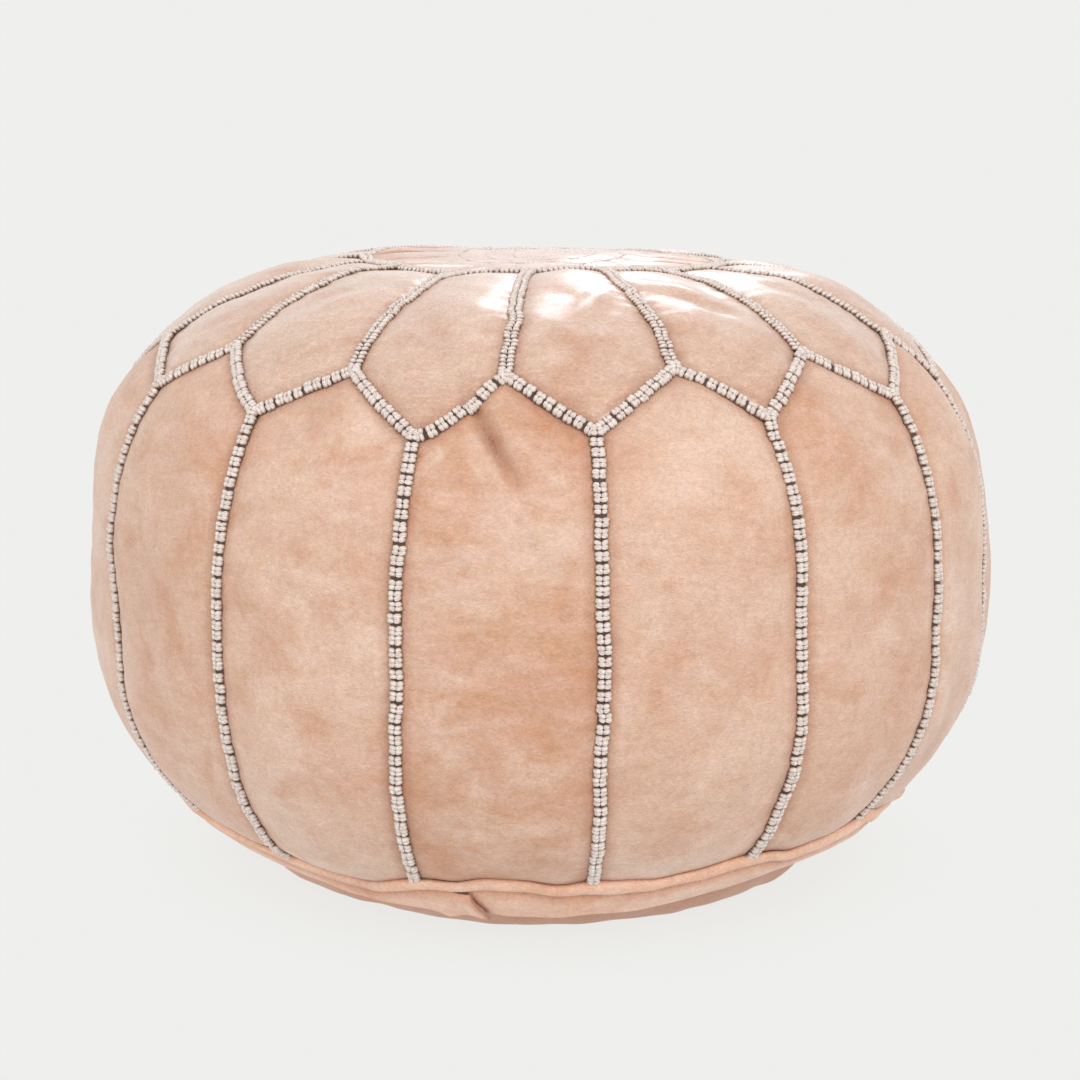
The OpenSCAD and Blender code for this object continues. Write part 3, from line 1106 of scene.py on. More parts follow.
@dataclass
class Medallion:
    """The star in the ring, and the small triangles between its points."""

    pouf: Pouf
    notch_share: float = 0.6
    pull: float = 0.6 * SEAM_PULL
    around: int = 256
    inward: int = 40

    def star_radius(self, theta: np.ndarray) -> np.ndarray:
        """Radius of the star's edge: a straight line from a notch to the ring's next corner."""
        ring = self.pouf.seams.ring_share * self.pouf.skin.profile.radius
        notch = self.notch_share * ring
        half = STEP / 2
        local = np.mod(theta, STEP)
        local = np.minimum(local, STEP - local)
        edge = np.array([ring * math.cos(half) - notch, ring * math.sin(half)])
        nx, ny = edge[1], -edge[0]
        return nx * notch / (nx * np.cos(local) + ny * np.sin(local))

    def build(self) -> None:
        """Makes the star and all the triangles."""
        self.star()
        self.triangles()

    def star(self) -> None:
        """Makes the star: its outline drawn in towards the middle by shares 1 - 0.995 v."""
        profile = self.pouf.skin.profile
        theta = np.linspace(0, 2 * math.pi, self.around, endpoint=False)[:, None]
        v = np.linspace(0, 1, self.inward)[None, :]
        ring = self.pouf.seams.ring_share * profile.radius
        edge = np.minimum(self.star_radius(theta), 0.97 * ring)
        radius = edge * (1 - 0.995 * v)
        s = profile.arc_at_radius(radius)
        gap = edge - radius
        theta = theta + 0 * v
        padding = cushion([(gap, 9 * MM)], self.pull, 1.4 * MM)
        made = self.pouf.leather_piece(
            "medallion_star_leather", theta, s, padding, gap, 0.4, "petal_leather", closed=True)
        self.pouf.dress(made, "petal_leather", "medallion_star")

    def triangles(self) -> None:
        """Makes the triangles, a small grid each, joined in one piece."""
        profile, seams = self.pouf.skin.profile, self.pouf.seams
        u = np.linspace(-0.94, 0.94, 17)[:, None]
        v = np.linspace(0.03, 0.97, 14)[None, :]
        points, faces, seam = [], [], []
        for count in range(PANELS):
            theta = count * STEP + u * STEP / 2 + 0 * v
            outer = np.interp(seams.ring(theta), profile.arc, profile.curve[0])
            radius = outer + (self.star_radius(theta) - outer) * v
            s = profile.arc_at_radius(radius)
            gap = np.minimum(v, 1 - v) * (outer - self.star_radius(theta))
            padding = cushion([(gap, 6 * MM)], self.pull, 1.8 * MM)
            top, _ = self.pouf.skin.place(theta, s, padding)
            faces.append(shell_faces(*theta.shape) + sum(len(p) for p in points))
            points.append(self.pouf.wall(top, normals_of(top)))
            seam.append(shade(gap))
        made = make_piece(
            "medallion_triangles_leather", np.concatenate(points), faces,
            self.pouf.finishes["panel_leather"],
            {"seam": np.concatenate(seam), "tone": np.full(sum(map(len, points)), 0.1)},
        )
        self.pouf.dress(made, "panel_leather", "medallion_triangles")


# ---------------------------------------------------------------- thread work


class Stitch(Enum):
    """The ways in which the thread is worked."""

    BLOCKS = "blocks of four grains, well apart"
    CHEVRON = "close rows of slanted grains"
    SATIN = "one row of short flat grains"


@dataclass(frozen=True)
class ThreadWork:
    """Sizes of one kind of stitching: pitch along the seam, width across it and height.

    grain holds half a grain's width, length and height as shares of those three. row_share is
    how far a row lies from its block's middle, as a share of the pitch. end_shade is how much
    painted shade darkens a grain's two ends, where it dives into the leather.
    """

    kind: Stitch
    pitch: float
    width: float
    height: float
    slant_deg: float
    grain: tuple[float, float, float]
    row_share: float = 0.0
    end_shade: float = 0.0


BLOCK_WORK = ThreadWork(
    Stitch.BLOCKS, 5.5 * MM, 7.2 * MM, 3.7 * MM, 9.0, (0.29, 0.262, 0.52), 0.195, 0.35)
CHEVRON_WORK = ThreadWork(
    Stitch.CHEVRON, 5.4 * MM, 8.0 * MM, 3.4 * MM, 22.0, (0.27, 0.205, 0.52), 0.25, 0.5)
SATIN_WORK = ThreadWork(Stitch.SATIN, 2.3 * MM, 2.0 * MM, 0.7 * MM, 18.0, (0.5, 0.52, 0.5))


def bead() -> tuple[np.ndarray, np.ndarray]:
    """A closed rounded block, from -1 to 1 each way: a cube of 2 by 2 faces, part inflated.

    Returns:
        Its points and its quads.
    """
    line = np.array([-1.0, 0.0, 1.0])
    points: list[tuple[float, ...]] = []
    quads: list[list[int]] = []
    for axis in range(3):
        for sign in (-1.0, 1.0):
            start = len(points)
            for a in line:
                for b in line:
                    spot = [0.0, 0.0, 0.0]
                    spot[axis], spot[(axis + 1) % 3], spot[(axis + 2) % 3] = sign, a, b
                    points.append(tuple(spot))
            for i in range(2):
                for j in range(2):
                    q = [start + i * 3 + j, start + (i + 1) * 3 + j,
                         start + (i + 1) * 3 + j + 1, start + i * 3 + j + 1]
                    quads.append(q if sign > 0 else q[::-1])
    whole = np.array(points)
    unique, index = np.unique(whole, axis=0, return_inverse=True)
    round_part = unique / np.linalg.norm(unique, axis=1, keepdims=True)
    shape = 0.9 * round_part + 0.1 * unique * 0.8
    return shape, index.reshape(-1)[np.array(quads)]


BEAD_POINTS, BEAD_FACES = bead()


def bead_faces(count: int) -> np.ndarray:
    """Quads of a number of beads whose points follow one another."""
    shift = (np.arange(count) * len(BEAD_POINTS))[:, None, None]
    return (BEAD_FACES[None] + shift).reshape(-1, 4)


def follow(spots: np.ndarray, arc: np.ndarray, track: np.ndarray) -> np.ndarray:
    """Values of a track of vectors at arc lengths, worked out one axis at a time."""
    return np.stack([np.interp(spots, arc, track[:, k]) for k in range(3)], axis=-1)


@dataclass
class SewnLine:
    """A line on the skin along which thread is laid: its points and their normals."""

    points: np.ndarray
    normals: np.ndarray

    def frames(self, spots: np.ndarray) -> tuple[np.ndarray, np.ndarray]:
        """Places and frames (across, along, up) at arc lengths along the line.

        Args:
            spots: arc lengths.

        Returns:
            Places, and matrices whose columns are the three directions.
        """
        steps = np.linalg.norm(np.diff(self.points, axis=0), axis=1)
        arc = np.concatenate([[0.0], np.cumsum(steps)])
        place = follow(spots, arc, self.points)
        up = follow(spots, arc, self.normals)
        along = follow(spots, arc, np.gradient(self.points, axis=0))
        up /= np.linalg.norm(up, axis=1, keepdims=True)
        along -= up * np.sum(along * up, axis=1, keepdims=True)
        along /= np.linalg.norm(along, axis=1, keepdims=True)
        return place, np.stack([np.cross(along, up), along, up], axis=-1)

    @property
    def length(self) -> float:
        """Length of the line."""
        return float(np.sum(np.linalg.norm(np.diff(self.points, axis=0), axis=1)))


@dataclass
class Braider:
    """Lays rows of thread grains along lines, and the dark cord that they cover, partly real dark
    thread and partly painted shade in the gaps between grains.
    """

    pouf: Pouf
    spacing_spread: float = 0.05
    sway: float = 0.28 * MM
    turn_spread: float = 0.13
    size_spread: float = 0.08
    side_spread: float = 0.1 * MM

    def __post_init__(self) -> None:
        """Starts the seeded draw."""
        self.draw = np.random.default_rng(Seed.THREAD)

    def grains(self, line: SewnLine, work: ThreadWork) -> tuple[np.ndarray, np.ndarray, np.ndarray]:
        """Places every grain of one row.

        A grain is the bead stretched to its size, turned by its slant and moved into its
        place in the block: left or right, near or far.

        Args:
            line: the line to follow.
            work: the kind of stitching.

        Returns:
            Points, the lay of each point along its grain, and its height share, lowered at the
            grain's ends, which sets the thread's painted shade.
        """
        blocks = max(1, int(round(line.length / work.pitch)))
        pitch = line.length / blocks
        spots = (np.arange(blocks) + 0.5) * pitch
        spots = spots + self.draw.normal(0, self.spacing_spread * pitch, blocks)
        place, frame = line.frames(np.clip(spots, 0, line.length))
        place = place + frame[:, :, 0] * self.draw.normal(0, self.sway, blocks)[:, None]
        cells = [(-1.0, -1.0), (1.0, -1.0), (-1.0, 1.0), (1.0, 1.0)]
        if work.kind is Stitch.SATIN:
            cells = [(0.0, 0.0)]
        size = np.array(work.grain) * (work.width, pitch, work.height)
        gathered = []
        for side, row in cells:
            turn = math.radians(work.slant_deg) * (side if side else 1.0)
            turn = (turn + self.draw.normal(0, self.turn_spread, blocks))[:, None]
            cos, sin = np.cos(turn), np.sin(turn)
            scale = 1.0 + self.draw.normal(0, self.size_spread, (blocks, 3))
            local = BEAD_POINTS[None] * size * scale[:, None, :]
            x = local[..., 0] * cos - local[..., 1] * sin
            y = local[..., 0] * sin + local[..., 1] * cos
            aside = self.draw.normal(0, self.side_spread, blocks)[:, None]
            x = x + side * 0.235 * work.width + aside
            y = y + row * work.row_share * pitch
            lean = -0.32 * (x * side / (0.5 * work.width)) ** 2 * work.height
            z = local[..., 2] + 0.48 * work.height + lean
            gathered.append((np.stack([x, y, z], axis=-1), local[..., 1] + 0.25 * local[..., 0]))
        points = np.concatenate([
            place[:, None, :] + np.einsum("bij,bmj->bmi", frame, local)
            for local, _ in gathered])
        lay = np.concatenate([lay for _, lay in gathered])
        # Height shares drop at each grain's ends, where the thread paints its shade.
        ends = np.tile(BEAD_POINTS[:, 1] ** 2, (len(lay), 1))
        high = np.concatenate([local[..., 2] for local, _ in gathered]) / work.height
        high = high * (1.0 - work.end_shade * ends)
        if work.kind is Stitch.SATIN:
            high = np.ones_like(high)
        return points.reshape(-1, 3), lay.reshape(-1), np.clip(high, 0, 1).reshape(-1)

    def braid(
        self, name: str, lines: Sequence[SewnLine], work: ThreadWork, slot: str, node: str
    ) -> None:
        """Makes one braid piece from its lines, and the cord piece under it.

        Args:
            name: the piece's name.
            lines: the lines that the thread follows.
            work: the kind of stitching.
            slot: the record's slot.
            node: the node that it stands for.
        """
        rows = [self.grains(line, work) for line in lines]
        points = np.concatenate([r[0] for r in rows])
        faces = bead_faces(len(points) // len(BEAD_POINTS))
        made = make_piece(
            name, points, [faces], self.pouf.finishes["thread"],
            {"lay": np.concatenate([r[1] for r in rows]),
             "rise": np.concatenate([r[2] for r in rows])},
            sharp=80,
        )
        self.pouf.dress(made, slot, node)
        if work.kind is not Stitch.SATIN:
            self.core(name + "_cord", lines, work, slot)

    def core(self, name: str, lines: Sequence[SewnLine], work: ThreadWork, slot: str) -> None:
        """Makes the dark cord under a braid, partly real dark thread and partly painted shade in
        the gaps: a low half-round section carried along each line.
        """
        around = 10
        angle = np.linspace(0, 2 * math.pi, around, endpoint=False)
        wide, high = 0.46 * work.width, 0.42 * work.height
        section = np.stack([wide * np.cos(angle), high * np.sin(angle)], axis=-1)
        points, faces, start = [], [], 0
        for line in lines:
            count = max(4, int(line.length / (3 * MM)))
            place, frame = line.frames(np.linspace(0, line.length, count))
            taper = np.ones(count)
            taper[0] = taper[-1] = 0.5
            offset = np.einsum("bi,k->bki", frame[:, :, 0], section[:, 0]) + np.einsum(
                "bi,k->bki", frame[:, :, 2], section[:, 1])
            grid = place[:, None, :] + offset * taper[:, None, None]
            ring = np.transpose(grid, (1, 0, 2))[::-1]
            points.append(ring.reshape(-1, 3))
            faces += [face[:, ::-1] + start for face in capped_faces(around, count)]
            start += around * count
        made = make_piece(
            name, np.concatenate(points), faces, self.pouf.finishes["cord_and_gap_shade"], sharp=60)
        self.pouf.dress(made, slot)

    def line(self, theta: np.ndarray, s: np.ndarray, lift: float = 0.1 * MM) -> SewnLine:
        """A line over the skin at a fixed height above the pulled-in seam."""
        return SewnLine(*self.pouf.skin.place(theta, s, -SEAM_PULL + lift))

    def build(self) -> None:
        """Makes all the braids and the medallion's embroidery."""
        self.side_braids()
        self.zigzag_braids()
        self.knots()
        self.crown_braids()
        self.ring_braid()
        self.embroidery()

    def side_braids(self) -> None:
        """One braid down each vertical seam, ending over the welt."""
        seams = self.pouf.seams
        for number in range(PANELS):
            count = number if number < HALF else number - PANELS
            v = np.linspace(-0.012, 0.992, 240)
            theta = seams.vertical(count, np.clip(v, 0, 1))
            foot, top = float(seams.foot(theta[:1])[0]), seams.low_point(count)[1]
            line = self.line(theta, foot + (top - foot) * v)
            self.braid(f"side_seam_braid_{number + 1:02d}", [line], BLOCK_WORK,
                       "braid_thread", "side_seam_braids")

    def zigzag_braids(self) -> None:
        """One braid along each straight run of the zigzag, four panels' worth to a piece."""
        xs, _ = self.pouf.seams.corners()
        first = 2 * self.pouf.seams.spare
        for quarter in range(4):
            lines = []
            for at in range(first + quarter * HALF, first + (quarter + 1) * HALF):
                theta = np.linspace(xs[at], xs[at + 1], 60)[1:-1]
                lines.append(self.line(theta, self.pouf.seams.zigzag(theta)))
            self.braid(f"zigzag_seam_braid_{quarter + 1}", lines, BLOCK_WORK,
                       "braid_thread", "zigzag_seam_braids")

    def knots(self) -> None:
        """One block over each corner of the zigzag, where three braids meet."""
        lines = []
        seams = self.pouf.seams
        stretch = np.linspace(-2.8, 2.8, 6) * MM
        for count in range(-HALF, HALF):
            for theta, arc in (seams.low_point(count), seams.high_point(count + 0.5)):
                lines.append(self.line(np.full_like(stretch, theta), arc + stretch, 0.9 * MM))
        self.braid("zigzag_seam_knots", lines, BLOCK_WORK, "braid_thread", "zigzag_seam_braids")

    def crown_braids(self) -> None:
        """One braid up each crown seam, four seams to a piece."""
        seams = self.pouf.seams
        for quarter in range(4):
            lines = []
            for k in range(PANELS // 4):
                count = quarter * PANELS // 4 + k + 0.5 - HALF
                v = np.linspace(0.012, 0.985, 120)
                theta = seams.crown(count, v)
                low, high = seams.high_point(count)[1], seams.ring(theta[-1:])[0]
                lines.append(self.line(theta, low + (high - low) * v))
            self.braid(f"crown_seam_braid_{quarter + 1}", lines, CHEVRON_WORK,
                       "braid_thread", "crown_seam_braids")

    def ring_braid(self) -> None:
        """The braid round the medallion, one line for each side of the polygon."""
        lines = []
        for count in range(PANELS):
            theta = np.linspace(count - 0.5, count + 0.5, 24) * STEP
            theta = np.clip(theta, theta[0] + 0.001, theta[-1] - 0.001)
            lines.append(self.line(theta, self.pouf.seams.ring(theta)))
        self.braid("ring_braid_thread", lines, CHEVRON_WORK, "braid_thread", "ring_braid")

    def embroidery(self) -> None:
        """Satin lines along the star's edges, and three rings inside it."""
        medallion = Medallion(self.pouf)
        profile = self.pouf.skin.profile
        ring = self.pouf.seams.ring_share * profile.radius
        lines = []
        for count in range(PANELS):
            for side in (-1, 1):
                theta = (count + side * np.linspace(0.02, 0.44, 24)) * STEP
                radius = np.minimum(medallion.star_radius(theta), ring * 0.93)
                lines.append(self.line(theta, profile.arc_at_radius(radius), 1.0 * MM))
        for share in (0.28, 0.52, 0.76):
            theta = np.linspace(0, 2 * math.pi, 200)
            radius = np.full_like(theta, share * medallion.notch_share * ring)
            lines.append(self.line(theta, profile.arc_at_radius(radius), 2.2 * MM))
        self.braid("medallion_embroidery_thread", lines, SATIN_WORK,
                   "braid_thread", "medallion_embroidery")


# ---------------------------------------------------------------- the base


@dataclass
class Base:
    """The rolled welt, the band with its slanted join, and the two halves underneath."""

    pouf: Pouf
    join_steps: float = -0.66
    join_lean: float = 9 * MM
    overlap: float = 0.012
    band_radius: float = 205 * MM
    roll_wide: float = 4.3 * MM
    roll_high_mm: float = 3.0
    corner: float = 6.5 * MM
    corner_at: float = 1.27
    slot: float = 7.5 * MM
    turned: float = 0.78
    behind: float = 9.5 * MM
    turn_wide: float = 28 * MM
    closing: float = 6.5 * MM

    def build(self) -> None:
        """Makes every piece of the base."""
        self.welt()
        self.band()
        self.half("base_disc_front", -1.0)
        self.half("base_disc_back", 1.0)

    def welt(self) -> None:
        """A roll of gathered leather: an ellipse carried round the foot, finely ribbed."""
        around, section = 1800, 16
        theta = np.linspace(0, 2 * math.pi, around, endpoint=False)[:, None]
        turn = np.linspace(0, 2 * math.pi, section, endpoint=False)[None, :]
        slow = 1 + 0.12 * np.sin(9 * theta + 1) + 0.08 * np.sin(23 * theta)
        ribs = 0.32 * np.sin(theta * 560 + 2.0 * np.sin(theta * 37))
        ribs = ribs * np.maximum(0.15, np.sin(theta * 7 - 0.4))
        wide, high = self.roll_wide * slow, (self.roll_high_mm * slow + ribs) * MM
        s = self.pouf.seams.foot(theta) - 4.6 * MM + wide * np.cos(turn)
        corner = self.corner * np.maximum(np.cos(theta - self.corner_at), 0) ** 160
        lift = -0.9 * MM + corner + high * np.sin(turn)
        points, _ = self.pouf.skin.place(theta + 0 * turn, s, lift)
        faces = torus_faces(around, section)
        # Painted shade on the roll's inner side, through the seam mark.
        seam = np.clip(0.1 + 0.9 * (np.sin(turn) * 0.6 + 0.4), 0, 1) + 0 * theta
        made = make_piece(
            "base_welt_roll", points.reshape(-1, 3), [faces],
            self.pouf.finishes["base_leather"],
            {"tone": np.full(around * section, 0.35), "seam": seam.reshape(-1)})
        self.pouf.dress(made, "base_leather", "base_welt")

    def band(self) -> None:
        """A strip below the welt whose ends meet in a slanted join, one lapped over the other.

        With v from its lower edge up, its height is a bulge of 3 sin(pi (0.8 v + 0.2))^0.7,
        a Gaussian for the turned edge and others that lift one end over the other, in mm.
        """
        around, along = 1200, 22
        seams = self.pouf.seams
        v = np.linspace(0, 1, along)[None, :]
        u = np.linspace(0, 1, around)[:, None]
        join = self.join_steps * STEP
        slant = self.join_lean / (0.8 * self.pouf.skin.profile.radius) * (0.5 - v)
        theta = join + slant + 0.002 + u * (2 * math.pi - 0.004 + self.overlap)
        top = seams.foot(theta) - 8.2 * MM
        low = seams.band_foot(theta)
        s = low + (top - low) * v
        walk = 2 * math.pi * self.band_radius
        lap_over = np.exp(-((1 - u) * walk / (9 * MM)) ** 2)
        lap_under = np.exp(-(u * walk / (7 * MM)) ** 2)
        belly = 3.0 * MM * np.sin(math.pi * np.clip(v * 0.8 + 0.2, 0, 1)) ** 0.7
        turned = 1.2 * MM * np.exp(-((v - 0.1) / 0.09) ** 2)
        short = theta - 2 * math.pi - join + 0.075
        flap = 2.2 * MM * np.exp(-(short / 0.03) ** 2) * (1 - v)
        lift = belly + turned + flap + 3.0 * MM * lap_over - 0.8 * MM * lap_under
        lift = lift - 1.4 * MM * smooth(0.88, 1.0, v) + 0.8 * MM
        end = np.minimum(u, 1 - u) * walk
        # Painted seam shade along the top edge under the welt and at the join's ends.
        gap = np.minimum((1 - v) * (top - low) + 2 * MM, end * 2 + 1 * MM)
        made = self.pouf.leather_piece(
            "base_band_strip", theta, s, lift, gap, 0.45, "base_leather")
        self.pouf.dress(made, "base_leather", "base_band")

    def half(self, node: str, side: float) -> None:
        """Makes one half of the underside, from the zip slot out to behind the band.

        A point lies a share v of the way out. Up to the turn the half is flat; past it, with
        w from 0 to 1, the radius grows as w + 0.12 sin(pi w) and the height as w^1.15, up to
        the rim, which is pushed out to meet the band. The zip's valley is a product of two
        smooth steps.

        Args:
            node: the node that it stands for.
            side: -1 for the half on -Y and 1 for the half on +Y.
        """
        tape_low, tape_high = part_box("zip_tape_back")
        lip = tape_low[2] - 2.2 * MM
        reach = tape_high[0] + 3 * MM
        around, along, turned = 240, 96, self.turned
        u = np.linspace(0, 1, around)[:, None]
        v = np.linspace(0, 1, along)[None, :]
        angle = math.pi * (1 + u) if side < 0 else math.pi * u
        azimuth = angle + math.pi / 2
        skin, cos, sin = self.pouf.skin, np.cos(angle), np.sin(angle)
        rim_arc = self.pouf.seams.band_foot(azimuth) + 3 * MM
        rim = skin.place(azimuth, rim_arc, -self.behind + 0 * u)[0]
        rim_r, rim_z = np.hypot(rim[..., 0], rim[..., 1]), rim[..., 2]
        slump = np.maximum(np.cos(azimuth + 0.68), 0) ** 10
        touch = rim_r - (self.turn_wide - 5 * MM * slump)
        touch = np.maximum(touch, (reach + 14.5 * MM) * np.abs(cos) ** 8)
        inner_x = cos * 0.985 * touch
        open_here = smooth(reach + 4 * MM, reach - 2 * MM, np.abs(inner_x))
        inner_y = side * (self.slot * open_here + 0.3 * MM)
        share = np.clip(v / turned, 0, 1)
        w = np.clip((v - turned) / (1 - turned), 0, 1)
        radius = touch + (rim_r - touch) * (w + 0.12 * np.sin(math.pi * w))
        radius = radius + self.closing * smooth(0.7, 1.0, w)
        x, y = (
            np.where(v < turned, start + (touch * part - start) * share, radius * part)
            for start, part in ((inner_x, cos), (inner_y, sin)))
        valley = smooth(23 * MM, 13 * MM, np.abs(y)) * smooth(reach + 8 * MM, reach, np.abs(x))
        z = rim_z * w**1.15 + lip * valley
        base = np.stack([x, y, z], axis=-1)
        rough = np.abs(skin.middle.at(base)) * 0.25 + np.abs(skin.broad.at(base)) * 0.5
        seam_gap = np.abs(y - inner_y)
        free = smooth(0.0, 12 * MM, seam_gap) * (1 - valley) * smooth(1.0, 0.9, v / turned)
        outer = np.stack([x, y, z + rough * MM * free], axis=-1)
        normal = normals_of(outer)
        normal = np.where(normal[..., 2:] > 0, -normal, normal)
        points = self.pouf.wall(outer, normal)
        # Painted shade: the whole underside darker, and darkest near the slot and the rim.
        gap = np.minimum(seam_gap, np.linalg.norm(outer - outer[:, -1:], axis=-1))
        painted_shade = 0.56 + 0.40 * np.exp(-gap / (5 * MM))
        made = make_piece(
            node + "_leather", points, [shell_faces(around, along)],
            self.pouf.finishes["base_leather"],
            {"tone": np.full(len(points), 0.0), "seam": shade(gap),
             "painted_shade": np.tile(painted_shade.reshape(-1), 2)})
        self.pouf.dress(made, "base_leather", node)


@dataclass
class Filling:
    """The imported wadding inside: a closed lathe shape a little smaller than the cover."""

    pouf: Pouf
    inset: float = 13 * MM
    lowest: float = 30 * MM
    first_arc: float = 62 * MM

    def build(self) -> None:
        """Makes the wadding, with its lower face above the zip."""
        around, along = 96, 60
        profile = self.pouf.skin.profile
        theta = np.linspace(0, 2 * math.pi, around, endpoint=False)[:, None]
        s = np.linspace(self.first_arc, profile.total - 0.5 * MM, along)[None, :]
        r, z, nr, nz = profile.at(s)
        depth = self.inset - self.pouf.skin.shape(theta, s)
        z = np.maximum(z - nz * depth, self.lowest)
        r = (r - nr * depth) * (1 + 0.004 * np.sin(7 * theta + 30 * s / profile.total))
        points = np.stack([r * np.sin(theta), -r * np.cos(theta), z + 0 * theta], axis=-1)
        made = make_piece(
            "stuffing_wadding", points.reshape(-1, 3), capped_faces(around, along),
            self.pouf.finishes["wadding"])
        self.pouf.dress(made, "filling", "stuffing")


@dataclass
class Zip:
    """The zip's own nodes, which keep their shape and get their finishes, and its topstitching."""

    pouf: Pouf
    metal: tuple[str, ...] = (
        "zip_teeth_front", "zip_teeth_back", "zip_top_stops", "zip_bottom_stop",
        "zip_slider", "zip_pull_tab")
    cloth: tuple[str, ...] = ("zip_tape_front", "zip_tape_back")
    stitches: int = 62
    stitch_y: float = 9.6 * MM

    def build(self, nodes: dict[str, Any]) -> None:
        """Dresses the nodes and sews the tapes down.

        Args:
            nodes: the frame's node objects by name.
        """
        for name in self.metal + self.cloth:
            finish = self.pouf.finishes["brass" if name in self.metal else "zip_cloth"]
            mesh = nodes[name].data
            mesh.materials.clear()
            mesh.materials.append(finish)
        self.topstitch()

    def topstitch(self) -> None:
        """Two rows of stitches beside the slot: a stretched bead at each even step."""
        low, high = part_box("zip_tape_back")
        x = np.linspace(low[0] + 4 * MM, high[0] - 4 * MM, self.stitches)
        z = np.full_like(x, low[2] - 2.15 * MM)
        size = np.array([1.55, 0.42, 0.4]) * MM
        centres = np.concatenate([
            np.stack([x, np.full_like(x, side * self.stitch_y), z], axis=-1)
            for side in (-1.0, 1.0)])
        whole = (centres[:, None, :] + BEAD_POINTS[None] * size).reshape(-1, 3)
        made = make_piece(
            "zip_topstitch", whole, [bead_faces(len(centres))], self.pouf.finishes["thread"],
            {"lay": whole[:, 0], "rise": np.ones(len(whole))}, sharp=80)
        self.pouf.dress(made, "braid_thread")


# ---------------------------------------------------------------- studio


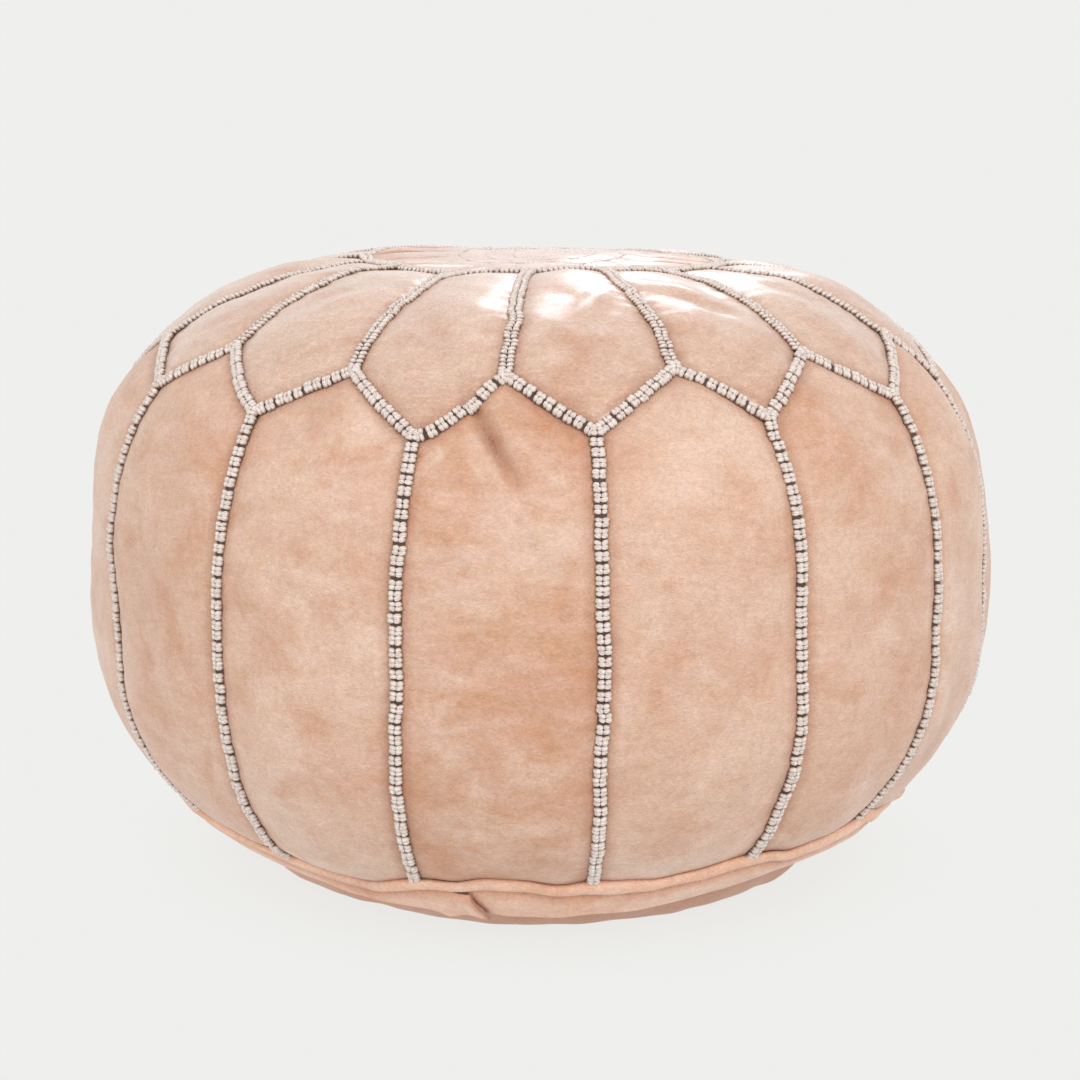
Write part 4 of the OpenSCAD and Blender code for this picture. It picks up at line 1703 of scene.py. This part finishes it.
@dataclass
class Studio:
    """A pale seamless floor and surround, soft lights, and the camera."""

    pouf: Pouf
    backdrop: str = "#efefed"
    floor_span: float = 30.0
    floor_drop: float = 0.4 * MM
    lens_mm: float = 73.53
    distance_share: float = 4.908
    eye_share: float = 1.609
    pitch_deg: float = 10.79
    roll_deg: float = 0.48
    azimuth_deg: float = -6.4

    def build(self) -> None:
        """Makes everything that isn't the pouf."""
        self.surround()
        self.floor()
        self.lights()
        self.camera()
        view = bpy.context.scene.view_settings
        view.view_transform = "Standard"
        view.look = "None"

    def surround(self) -> None:
        """A world of the backdrop's colour."""
        world = bpy.data.worlds.new("pale surround")
        bpy.context.scene.world = world
        world.use_nodes = True
        sky = world.node_tree.nodes["Background"]
        sky.inputs["Color"].default_value = linear(self.backdrop)
        sky.inputs["Strength"].default_value = 1.0

    def floor(self) -> None:
        """A wide pale floor that glows like a light table, with a soft painted contact shadow where
        it is touched.
        """
        kit = Finish("matt light table acrylic")
        # Painted contact shadow: ambient occlusion dims the floor's glow near the pouf.
        touch = kit.add("ShaderNodeAmbientOcclusion", {"samples": 8}, {"Distance": 0.10}, "AO")
        glow_with_painted_shadow = kit.add(RAMP, links={"Fac": touch}, stops=[(0.0, "#e8e6e3"), (0.5, self.backdrop)])
        material = kit.done(kit.add("ShaderNodeEmission", links={"Color": glow_with_painted_shadow, "Strength": 1.0}))
        x = np.array([-1.0, 1.0, 1.0, -1.0]) * self.floor_span
        y = np.array([-1.0, -1.0, 1.0, 1.0]) * self.floor_span
        points = np.stack([x, y, np.full_like(x, -self.floor_drop)], axis=-1)
        make_piece("studio_floor", points, [np.array([[0, 1, 2, 3]])], material)

    def lamp(
        self, name: str, spot: tuple[float, float, float], size: tuple[float, float],
        power: float, colour: str,
    ) -> None:
        """Adds an oblong soft light that faces the middle of the pouf.

        Args:
            name: the light's name.
            spot: its place, in metres.
            size: its width and height, in metres.
            power: its power, in watts.
            colour: its colour.
        """
        data = bpy.data.lights.new(name, "AREA")
        data.shape = "RECTANGLE"
        data.size, data.size_y = size
        data.energy = power
        data.color = linear(colour)[:3]
        lamp = bpy.data.objects.new(name, data)
        place = Vector(spot)
        aim = Vector((0.0, 0.0, 0.5 * self.pouf.skin.profile.height)) - place
        facing = aim.to_track_quat("-Z", "Y").to_matrix().to_4x4()
        lamp.matrix_world = Matrix.Translation(place) @ facing
        bpy.context.scene.collection.objects.link(lamp)

    def lights(self) -> None:
        """A tall soft light above and behind to the right, and two softer ones in front."""
        self.lamp("back_softbox", (0.43, 1.75, 1.65), (0.62, 1.35), 12.0, "#eef2ff")
        self.lamp("key_softbox", (1.1, -1.8, 1.5), (0.8, 0.8), 18.5, "#fffaf6")
        self.lamp("fill_softbox", (-1.9, -1.5, 0.9), (1.5, 1.5), 13.5, "#fffaf6")

    def camera(self) -> None:
        """The camera: yawed to its azimuth, pitched down and rolled a little."""
        radius = self.pouf.skin.profile.radius
        turn = math.radians(self.azimuth_deg)
        away = self.distance_share * radius
        data = bpy.data.cameras.new("view_camera")
        data.sensor_width = 36.0
        data.lens = self.lens_mm
        eye = bpy.data.objects.new("view_camera", data)
        place = Matrix.Translation(
            (away * math.sin(turn), -away * math.cos(turn), self.eye_share * radius))
        look = (
            Matrix.Rotation(turn, 4, "Z")
            @ Matrix.Rotation(math.radians(90 - self.pitch_deg), 4, "X")
            @ Matrix.Rotation(math.radians(self.roll_deg), 4, "Z")
        )
        eye.matrix_world = place @ look
        bpy.context.scene.collection.objects.link(eye)
        bpy.context.scene.camera = eye


# ---------------------------------------------------------------- assembly


def make_finishes() -> dict[str, Any]:
    """Builds every finish once.

    Returns:
        The materials by the name that the pieces use.
    """
    makers = {
        "panel_leather": VegetableTannedLeather("vegetable-tanned goatskin, hand dyed"),
        "petal_leather": VegetableTannedLeather(
            "vegetable-tanned goatskin, hand dyed and waxed", roughness=0.42, coat=0.7,
            coat_roughness=0.19, cloud_mm=50.0, wrinkle=0.5),
        # Paler than the other leathers: painted light for the welt, band and underside, which face
        # down.
        "base_leather": VegetableTannedLeather(
            "vegetable-tanned goatskin, unwaxed", base="#e8b496", warm="#d99a74", pale="#f4d0ba",
            roughness=0.55, coat=0.0, cloud_mm=35.0),
        "thread": TwistedThread("viscose embroidery thread, plied"),
        # Dark cord under the braids: real dark thread, and painted shade in the gaps between
        # grains.
        "cord_and_gap_shade": PlainFinish(
            "waxed linen cord, dark", "#5d4233", "#3f2b20", 0.6, mottle_mm=1.2),
        "wadding": PlainFinish(
            "cotton wadding, carded", "#e6ddcc", "#d3c8b4", 0.9, mottle_mm=9.0, sheen=0.3),
        "zip_cloth": PlainFinish(
            "polyester zip tape, woven", "#6b5140", "#4c3829", 0.8, mottle_mm=1.0, rib_mm=0.8),
        "brass": PlainFinish(
            "brass, die cast and tumbled", "#c9a35a", "#a07c3c", 0.3, metallic=1.0,
            mottle_mm=4.0, bump_mm=0.03),
    }
    return {key: maker.build() for key, maker in makers.items()}


def main() -> None:
    """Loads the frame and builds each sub-assembly in order."""
    logging.basicConfig(level=logging.INFO, format="%(name)s %(message)s")
    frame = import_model()
    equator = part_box("side_panel_05")[1][0]
    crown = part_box("medallion_star")[1][2]
    profile = Profile(equator, crown)
    pouf = Pouf(Skin(profile), SeamPlan(profile), make_finishes())
    Studio(pouf).build()
    SidePanels(pouf).build()
    Crown(pouf).build()
    Medallion(pouf).build()
    Braider(pouf).build()
    Base(pouf).build()
    Filling(pouf).build()
    Zip(pouf).build(frame["nodes"])


if __name__ == "__main__":
    main()
